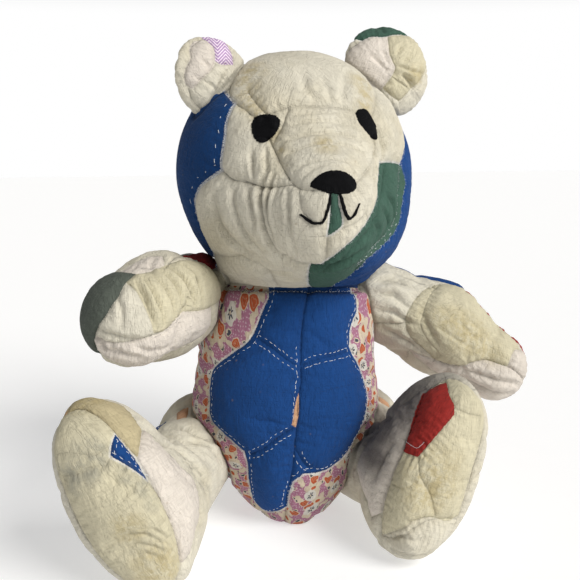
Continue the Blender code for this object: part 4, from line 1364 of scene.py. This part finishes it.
def patchwork():
    """Old quilt cotton, in the cloths that each part is pieced from."""
    nodes = Nodes("patchwork", Roughness=0.92, Specular_IOR_Level=0.12, Sheen_Weight=0.03, Sheen_Roughness=0.5)
    place = nodes.place()
    where = nodes.shade(nodes.add("UVMap", {}, "UV", uv_map="cloth"), CLOTH_UNIT)
    fray = nodes.noise(place, 1.3, 3.0) * 1.1 - 0.55
    warp = nodes.noise(nodes.vector("MULTIPLY", where, (1.3, 0.11, 1.0)), 1.0)
    weft = nodes.noise(nodes.vector("MULTIPLY", where, (0.11, 1.3, 1.0)), 1.0)
    slub = warp + weft
    seam = abs(nodes.attribute("seam"))
    colour = cloth_colours(nodes, place, where, fray)
    colour = nodes.shade(colour, slub * 0.26 + 0.74)
    colour = nodes.shade(colour, nodes.noise(place, 0.05, 4.0) * 0.3 + 0.85)
    colour = wear_and_shade(nodes, stain(nodes, colour, place), place, fray, seam)
    return nodes.cover(colour, relief(nodes, place, where, slub, seam), MM)


def thread_material(name, colour, spread, shine):
    """Twisted cotton thread: fine slanting ridges, with a painted highlight along them."""
    nodes = Nodes(name, Roughness=0.75, Specular_IOR_Level=shine)
    ply = nodes.noise(nodes.place(), 2.2, 3.0, 0.7)
    # tint is the painted highlight on the ridges: the thread's colour, brightened by spread
    tint = tuple(min(1.0, part * spread) for part in colour)
    return nodes.cover(nodes.mix(nodes.ramp(ply, 0.35, 0.7), colour, tint), ply, 0.2 * MM)


# Threads.


def tube(points, radii, sides=6):
    """Rings of a closed tube along points, and its faces, all four-sided."""
    points = np.asarray(points, float)
    radii = np.broadcast_to(radii, len(points))
    tangents = unit(np.gradient(points, axis=0))
    helper = np.array((0.31, 0.17, 0.93))
    across = unit(np.cross(tangents, helper))
    up = np.cross(tangents, across)
    angles = (np.arange(sides) * 2 * pi / sides)[None, :, None]
    outward = np.cos(angles) * across[:, None] + np.sin(angles) * up[:, None]
    rings = points[:, None] + radii[:, None, None] * outward
    index = np.arange(len(points) * sides).reshape(len(points), sides)
    after = np.roll(index, -1, axis=1)
    faces = np.stack([index[:-1], after[:-1], after[1:], index[1:]], axis=-1).reshape(-1, 4)
    caps = []
    for ring in (index[0], index[-1][::-1]):
        caps += [(ring[0], ring[k], ring[k + 1], ring[k + 2]) for k in range(1, sides - 2, 2)]
    return rings.reshape(-1, 3), np.concatenate([faces, np.array(caps)])


def joined(name, tubes, material):
    points, faces, start = [], [], 0
    for ring_points, ring_faces in tubes:
        points.append(ring_points)
        faces.append(ring_faces + start)
        start += len(ring_points)
    made = new_mesh(name, np.concatenate(points), np.concatenate(faces))
    made.data.materials.append(material)
    return made


def settle(cover, points, lift):
    """Points of the plain shape, carried to the finished cloth and lifted off it by these amounts."""
    placed = []
    for point, rise in zip(points, np.broadcast_to(lift, len(points))):
        found, normal, _, _ = cover.tree.find_nearest(Vector(cover.carry(point)))
        placed.append(np.array(found) + np.array(normal) * rise)
    return np.array(placed)


def inward(course):
    """1 where the left of a closed line is its inside, otherwise -1."""
    left = np.cross(course.directions[:-1], np.diff(course.directions, axis=0))
    return 1 if course.holds(unit(course.directions[:-1] + left * 0.4)).mean() > 0.5 else -1


def stitch_row(cover, course, inset, rng, start=0.0, stop=1.0, pitch=3.5, length=1.75, radius=0.15):
    """Running stitches beside a line, this far to its left or, when negative, to its right."""
    tubes = []
    here = course.length * start + pitch * rng.uniform(0.2, 0.8)
    while here + 1.5 * length < course.length * stop:
        reach = length * rng.uniform(0.6, 1.5)
        middle, normal = course.at(np.linspace(here, here + reach, 5))
        side = unit(np.cross(normal, np.gradient(middle, axis=0)))
        sway = inset + rng.uniform(-0.35, 0.35) + np.linspace(-1, 1, 5) * rng.uniform(-0.3, 0.3)
        lift = radius * np.array((-0.6, 0.6, 0.95, 0.6, -0.6))
        places = settle(cover, middle + side * sway[:, None], lift)
        tubes.append(tube(places, radius * np.array((0.8, 1, 1, 1, 0.8))))
        here += pitch * rng.uniform(0.85, 1.15)
    return tubes


FRAY, FINE_FRAY = 0.055, 0.04  # radii


def fray_row(cover, course, rng, start, stop, spacing, length, radius):
    """Loose thread ends along a raw edge, lying over it both ways."""
    tubes = []
    here = course.length * start
    while here < course.length * stop:
        here += spacing * rng.uniform(0.4, 1.6)
        root, normal = course.at(here)
        ahead, _ = course.at(here + 1)
        if np.linalg.norm(ahead - root) < 1e-6:
            break
        tangent = unit(ahead - root)
        side = np.cross(normal, tangent) * rng.choice((-1, 1)) + tangent * rng.uniform(-0.9, 0.9)
        reach = length * rng.uniform(0.4, 1.3)
        share = np.linspace(0, 1, 3)[:, None]
        bend = tangent * rng.uniform(-0.4, 0.4)
        path = root + share * reach * unit(side) + share**2 * reach * bend
        lift = np.array((0.0, 0.3, 0.4)) * rng.uniform(0.5, 1.8)
        tubes.append(tube(settle(cover, path, lift), radius, 4))
    return tubes


NECK_ROW = ((-78, 46), (-52, 46), (-32, 47), (-7, 49), (16, 49), (43, 48), (62, 46))
LOOSE_THREAD = ((-47, 45), (-36, 43), (-27, 41), (-24, 43), (-23, 46))


def make_stitches(skins, covers, lines, material):
    """White running stitches beside the blue patches and along the neck, and a loose thread on the left leg.
    """
    rng = np.random.default_rng(7)
    tubes = []
    body_lines = [line["course"] for line in lines["body"]]
    field = body_lines[0]
    inner = [line["course"] for line in lines["body"][len(PATCHES["body"]):]]
    tubes += stitch_row(covers["body"], field, inward(field) * 3.4, rng, 0.01, 0.93)
    for seam in inner[1:5]:
        for inset in (-2.9, 2.7):
            tubes += stitch_row(covers["body"], seam, inset, rng)
    tubes += stitch_row(covers["body"], inner[0], -2.6, rng, 0.14, 0.26)
    neck = Course(skins["body"], NECK_ROW)
    tubes += stitch_row(covers["body"], neck, 0.0, rng, pitch=2.7, length=0.9)
    loose = Course(skins["leg_left"], LOOSE_THREAD)
    tubes.append(tube(settle(covers["leg_left"], loose.points, 0.2), 0.11))
    right_blue, left_blue = (line["course"] for line in lines["head"] if line.get("cloth") in ("shaded_blue", "blue"))
    tubes += stitch_row(covers["head"], right_blue, inward(right_blue) * 5.0, rng, 0.0, 0.2, pitch=9.0)
    tubes += stitch_row(covers["head"], left_blue, inward(left_blue) * 4.0, rng, 0.16, 0.34, pitch=7.0)
    for course in (line["course"] for line in lines["leg_right"] if line.get("cloth") == "blue"):
        tubes += stitch_row(covers["leg_right"], course, inward(course) * 2.4, rng, pitch=4.2)
    return joined("running_stitches", tubes, material)


def make_frays(skins, covers, lines, material):
    """Short loose fibres along raw edges."""
    rng = np.random.default_rng(11)
    head, body = (
        [line["course"] for line in lines[part] if line.get("cloth") in ("shaded_blue", "blue", "green")]
        for part in ("head", "body")
    )
    tubes = []
    for part, course, start, stop, spacing, length, radius in (
        ("head", head[0], 0.0, 1.0, 0.9, 1.0, FRAY),
        ("head", head[1], 0.0, 1.0, 0.9, 1.0, FRAY),
        ("head", head[2], 0.0, 0.42, 0.14, 1.2, FINE_FRAY),
        ("body", Course(skins["body"], NECK_ROW), 0.0, 1.0, 1.1, 1.6, FRAY),
        ("head", head[3], 0.0, 0.3, 0.8, 1.2, FRAY),
        ("body", body[0], 0.03, 0.9, 0.9, 0.9, FRAY),
    ):
        tubes += fray_row(covers[part], course, rng, start, stop, spacing, length, radius)
    return joined("frayed_edges", tubes, material)


# The face, embroidered in black.

EYES = {
    "right": (
        (-32.6, 38.2), (-27.8, 38.7), (-23.4, 37.8), (-21.7, 34.6), (-23.4, 30.4), (-27.0, 26.4),
        (-31.0, 23.6), (-34.6, 23.4), (-36.9, 26.4), (-37.4, 31.0), (-35.9, 35.4),
    ),
    "left": (
        (29.6, 38.8), (33.2, 38.4), (36.2, 35.2), (38.3, 29.8), (39.2, 24.4), (37.9, 20.8),
        (34.7, 21.8), (30.3, 25.4), (26.9, 29.8), (25.8, 33.8), (26.8, 37.3),
    ),
}
EYE_SLANTS = {"right": 82.0, "left": 110.0}
NOSE = (
    (-15.2, 0.2), (-11.6, 4.1), (-5.9, 6.7), (0.5, 7.0), (6.2, 4.9), (9.8, 0.7),
    (9.2, -2.4), (5.4, -4.3), (-1.1, -4.8), (-7.5, -3.8), (-12.4, -1.9),
)
THREAD = 1.4
MOUTHS = {
    "right": ((-5.8, -4.4), (-7.8, -10.0), (-10.6, -17.0), (-12.6, -20.0), (-17.2, -20.0), (-22.4, -15.4)),
    "left": ((-1.0, -3.8), (-0.4, -10.0), (0.4, -15.0), (2.2, -18.6), (5.0, -17.4), (9.0, -11.0)),
}


def on_face(tree, across_up, lift):
    """Points lifted off the finished face, straight before these places across it and up it."""
    turn = rotation(HEAD_TURN)
    placed = []
    for (across, up), rise in zip(across_up, np.broadcast_to(lift, len(across_up))):
        start = out_of((across, -FAR, up), HEAD_CENTRE, turn)
        found, normal, _, _ = tree.ray_cast(Vector(start), Vector(turn @ (0, 1, 0)))
        placed.append(np.array(found) + np.array(normal) * rise)
    return np.array(placed)


def satin(tree, outline, slant, rng):
    """Parallel threads across an outline, heaped towards its middle, over a layer laid square to them."""
    tubes = []
    for turned, pitch, height in ((slant + pi / 2, 0.8, 0.6 * THREAD), (slant, 0.5, THREAD)):
        tubes += laid(tree, outline, turned, pitch, height, rng)
    return tubes


def laid(tree, outline, slant, pitch, height, rng):
    turn = np.array([[cos(slant), -sin(slant)], [sin(slant), cos(slant)]])
    turned = outline @ turn
    tubes = []
    low, high = turned[:, 0].min(), turned[:, 0].max()
    closed = np.concatenate([turned, turned[:1]])
    for place in np.arange(low + pitch * 0.4, high, pitch):
        crossings = []
        for (x0, y0), (x1, y1) in zip(closed[:-1], closed[1:]):
            if (x0 > place) != (x1 > place):
                crossings.append(y0 + (place - x0) * (y1 - y0) / (x1 - x0))
        ends = min(crossings) - rng.uniform(-0.1, 0.35), max(crossings) + rng.uniform(-0.1, 0.35)
        share = np.linspace(0, 1, 9)
        lean = rng.uniform(-0.3, 0.3)
        along = ends[0] + (ends[1] - ends[0]) * share
        path = np.stack([place + lean * (share - 0.5), along], axis=-1) @ turn.T
        edge = 1 - ((place - low) / (high - low) * 2 - 1) ** 2
        heap = height * np.sqrt(np.clip(1 - (2 * share - 1) ** 2, 0, 1)) * (0.35 + 0.65 * edge)
        drawn = on_face(tree, path, 0.0)
        forward = rotation(HEAD_TURN) @ (0, -1, 0)
        bridge = np.linspace(drawn[0], drawn[-1], len(drawn))
        drawn += forward * np.maximum((bridge - drawn) @ forward, 0)[:, None]
        drawn += forward * (heap + rng.uniform(-0.05, 0.08))[:, None]
        tubes.append(tube(drawn, pitch * 0.66))
    return tubes


def looped(places, steps=4):
    """A smooth closed line through these places."""
    places = np.asarray(places, float)
    before, after, beyond = (np.roll(places, shift, axis=0)[:, None] for shift in (1, -1, -2))
    share = (np.arange(steps) / steps)[None, :, None]
    here = places[:, None]
    bent = 2 * before - 5 * here + 4 * after - beyond
    twisted = 3 * (here - after) + beyond - before
    curve = here + 0.5 * share * (after - before + share * (bent + share * twisted))
    return curve.reshape(-1, 2)


def rounded(places, count=44):
    """Points along a line that is straight between these places, with its bends rounded off."""
    places = np.asarray(places, float)
    even = np.linspace(0, len(places) - 1, count)
    line = np.stack([np.interp(even, range(len(places)), places[:, axis]) for axis in range(2)], axis=-1)
    for _ in range(2):
        line[1:-1] = (line[:-2] + 2 * line[1:-1] + line[2:]) / 4
    return line


TWIST = 2.6  # how far a mouth's strands turn between two of its places


def make_face(tree, material):
    rng = np.random.default_rng(3)
    for side, eye in EYES.items():
        tubes = satin(tree, looped(eye), radians(EYE_SLANTS[side]), rng)
        made = joined(f"eye_{side}_satin", tubes, material)
        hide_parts(f"eye_{side}")
    made = joined("nose_satin", satin(tree, looped(NOSE), 0.0, rng), material)
    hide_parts("nose")
    for side, places in MOUTHS.items():
        tubes = []
        drawn = rounded(places)
        for strand in range(3):
            twist = np.linspace(0, len(places) * TWIST, len(drawn)) + strand * 2 * pi / 3
            path = drawn + np.stack([0.42 * np.cos(twist), 0.2 * np.cos(twist)], axis=-1)
            taper = np.clip(np.minimum(np.arange(len(drawn)), np.arange(len(drawn))[::-1]) / 5, 0.55, 1)
            rough = 1 + rng.uniform(-0.14, 0.14, len(drawn))
            tubes.append(tube(on_face(tree, path, 0.4 + 0.3 * np.sin(twist)), 0.62 * taper * rough))
        made = joined(f"mouth_{side}_strands", tubes, material)
        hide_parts(f"mouth_{side}")


# The studio.

LENS = 52.76
CAMERA_AROUND, CAMERA_UP, CAMERA_AWAY = -10.0, 12.0, 560.0
CAMERA_TARGET = (2.0, -15.0, 148.0)
KEY_STRENGTH, KEY_SPREAD, KEY_COLOUR = 3.4, 34.0, (1.0, 0.985, 0.955)
KEY_AIM = (-0.62, 0.66, -0.75)
FLOOR_REACH = 3.0  # metres


def make_camera():
    camera = bpy.data.objects.new("camera", bpy.data.cameras.new("camera"))
    bpy.context.scene.collection.objects.link(camera)
    around, up = radians(CAMERA_AROUND), radians(CAMERA_UP)
    back = np.array((sin(around) * cos(up), -cos(around) * cos(up), sin(up)))
    target = np.array(CAMERA_TARGET) + SHIFT
    camera.location = (target + CAMERA_AWAY * back) * MM
    camera.rotation_euler = Vector(-back).to_track_quat("-Z", "Y").to_euler()
    camera.data.lens = LENS
    camera.data.sensor_width = 36.0
    bpy.context.scene.camera = camera


def make_key():
    """One broad soft light, from above the toy's left."""
    light = bpy.data.lights.new("key", "SUN")
    light.energy, light.angle, light.color = KEY_STRENGTH, radians(KEY_SPREAD), KEY_COLOUR
    lamp = bpy.data.objects.new("key", light)
    lamp.rotation_euler = Vector(KEY_AIM).to_track_quat("-Z", "Y").to_euler()
    bpy.context.scene.collection.objects.link(lamp)


def make_world():
    """A pale room: bright around the horizon and dimmer above, so that the key light models the shape."""
    world = bpy.data.worlds.new("studio")
    world.use_nodes = True
    tree = world.node_tree
    coordinates = tree.nodes.new("ShaderNodeTexCoord")
    split = tree.nodes.new("ShaderNodeSeparateXYZ")
    tree.links.new(coordinates.outputs["Generated"], split.inputs[0])
    fade = tree.nodes.new("ShaderNodeMapRange")
    fade.interpolation_type = "SMOOTHSTEP"
    for name, value in (("From Min", 0.10), ("From Max", 0.20), ("To Min", 1.0), ("To Max", 0.18)):
        fade.inputs[name].default_value = value
    tree.links.new(split.outputs["Z"], fade.inputs["Value"])
    tree.links.new(fade.outputs["Result"], tree.nodes["Background"].inputs["Strength"])
    tree.nodes["Background"].inputs["Color"].default_value = (1.0, 1.0, 1.0, 1.0)
    bpy.context.scene.world = world


def make_studio():
    make_world()
    make_key()
    nodes = Nodes("floor", Roughness=0.9, Emission_Color=(1.0, 1.0, 1.0, 1.0), Emission_Strength=0.5)
    grain = nodes.noise(nodes.add("TexCoord", {}, "Object"), 40.0, 3.0)
    nodes.link(nodes.mix(grain, (0.53, 0.53, 0.53), (0.55, 0.55, 0.55)), nodes.shader.inputs["Base Color"])
    corners = [(x * FLOOR_REACH, y * FLOOR_REACH, 0.0) for x, y in ((-1, -1), (1, -1), (1, 1), (-1, 1))]
    mesh = bpy.data.meshes.new("floor")
    mesh.from_pydata(corners, [], [(0, 1, 2, 3)])
    mesh.materials.append(nodes.material)
    floor = bpy.data.objects.new("floor", mesh)
    bpy.context.scene.collection.objects.link(floor)
    bpy.context.scene.view_settings.view_transform = "Standard"


LEFT_REACH = 167.4  # how far to the left and to the front the stuffing of the arms was drawn
FRONT_REACH = -90.4


def drawn_shift():
    """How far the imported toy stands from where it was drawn: the stuffing of its arms shows it."""
    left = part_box("arm_left_stuffing")[1][0] / MM
    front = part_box("arm_right_stuffing")[0][1] / MM
    return np.array((left - LEFT_REACH, front - FRONT_REACH, 0.0))


skins = make_skins()
SHIFT = drawn_shift()
swell(skins)
cloth = patchwork()
dressed = {name: dress(skin, cloth) for name, skin in skins.items()}
covers = {name: cover for name, (cover, _) in dressed.items()}
lines = {name: drawn for name, (_, drawn) in dressed.items()}
white = thread_material("white_thread", (0.68, 0.70, 0.73), 1.1, 0.25)
black = thread_material("black_thread", (0.0015, 0.0015, 0.002), 2.5, 0.12)
make_stitches(skins, covers, lines, white)
make_frays(skins, covers, lines, white)
make_face(covers["head"].tree, black)
make_camera()
make_studio()
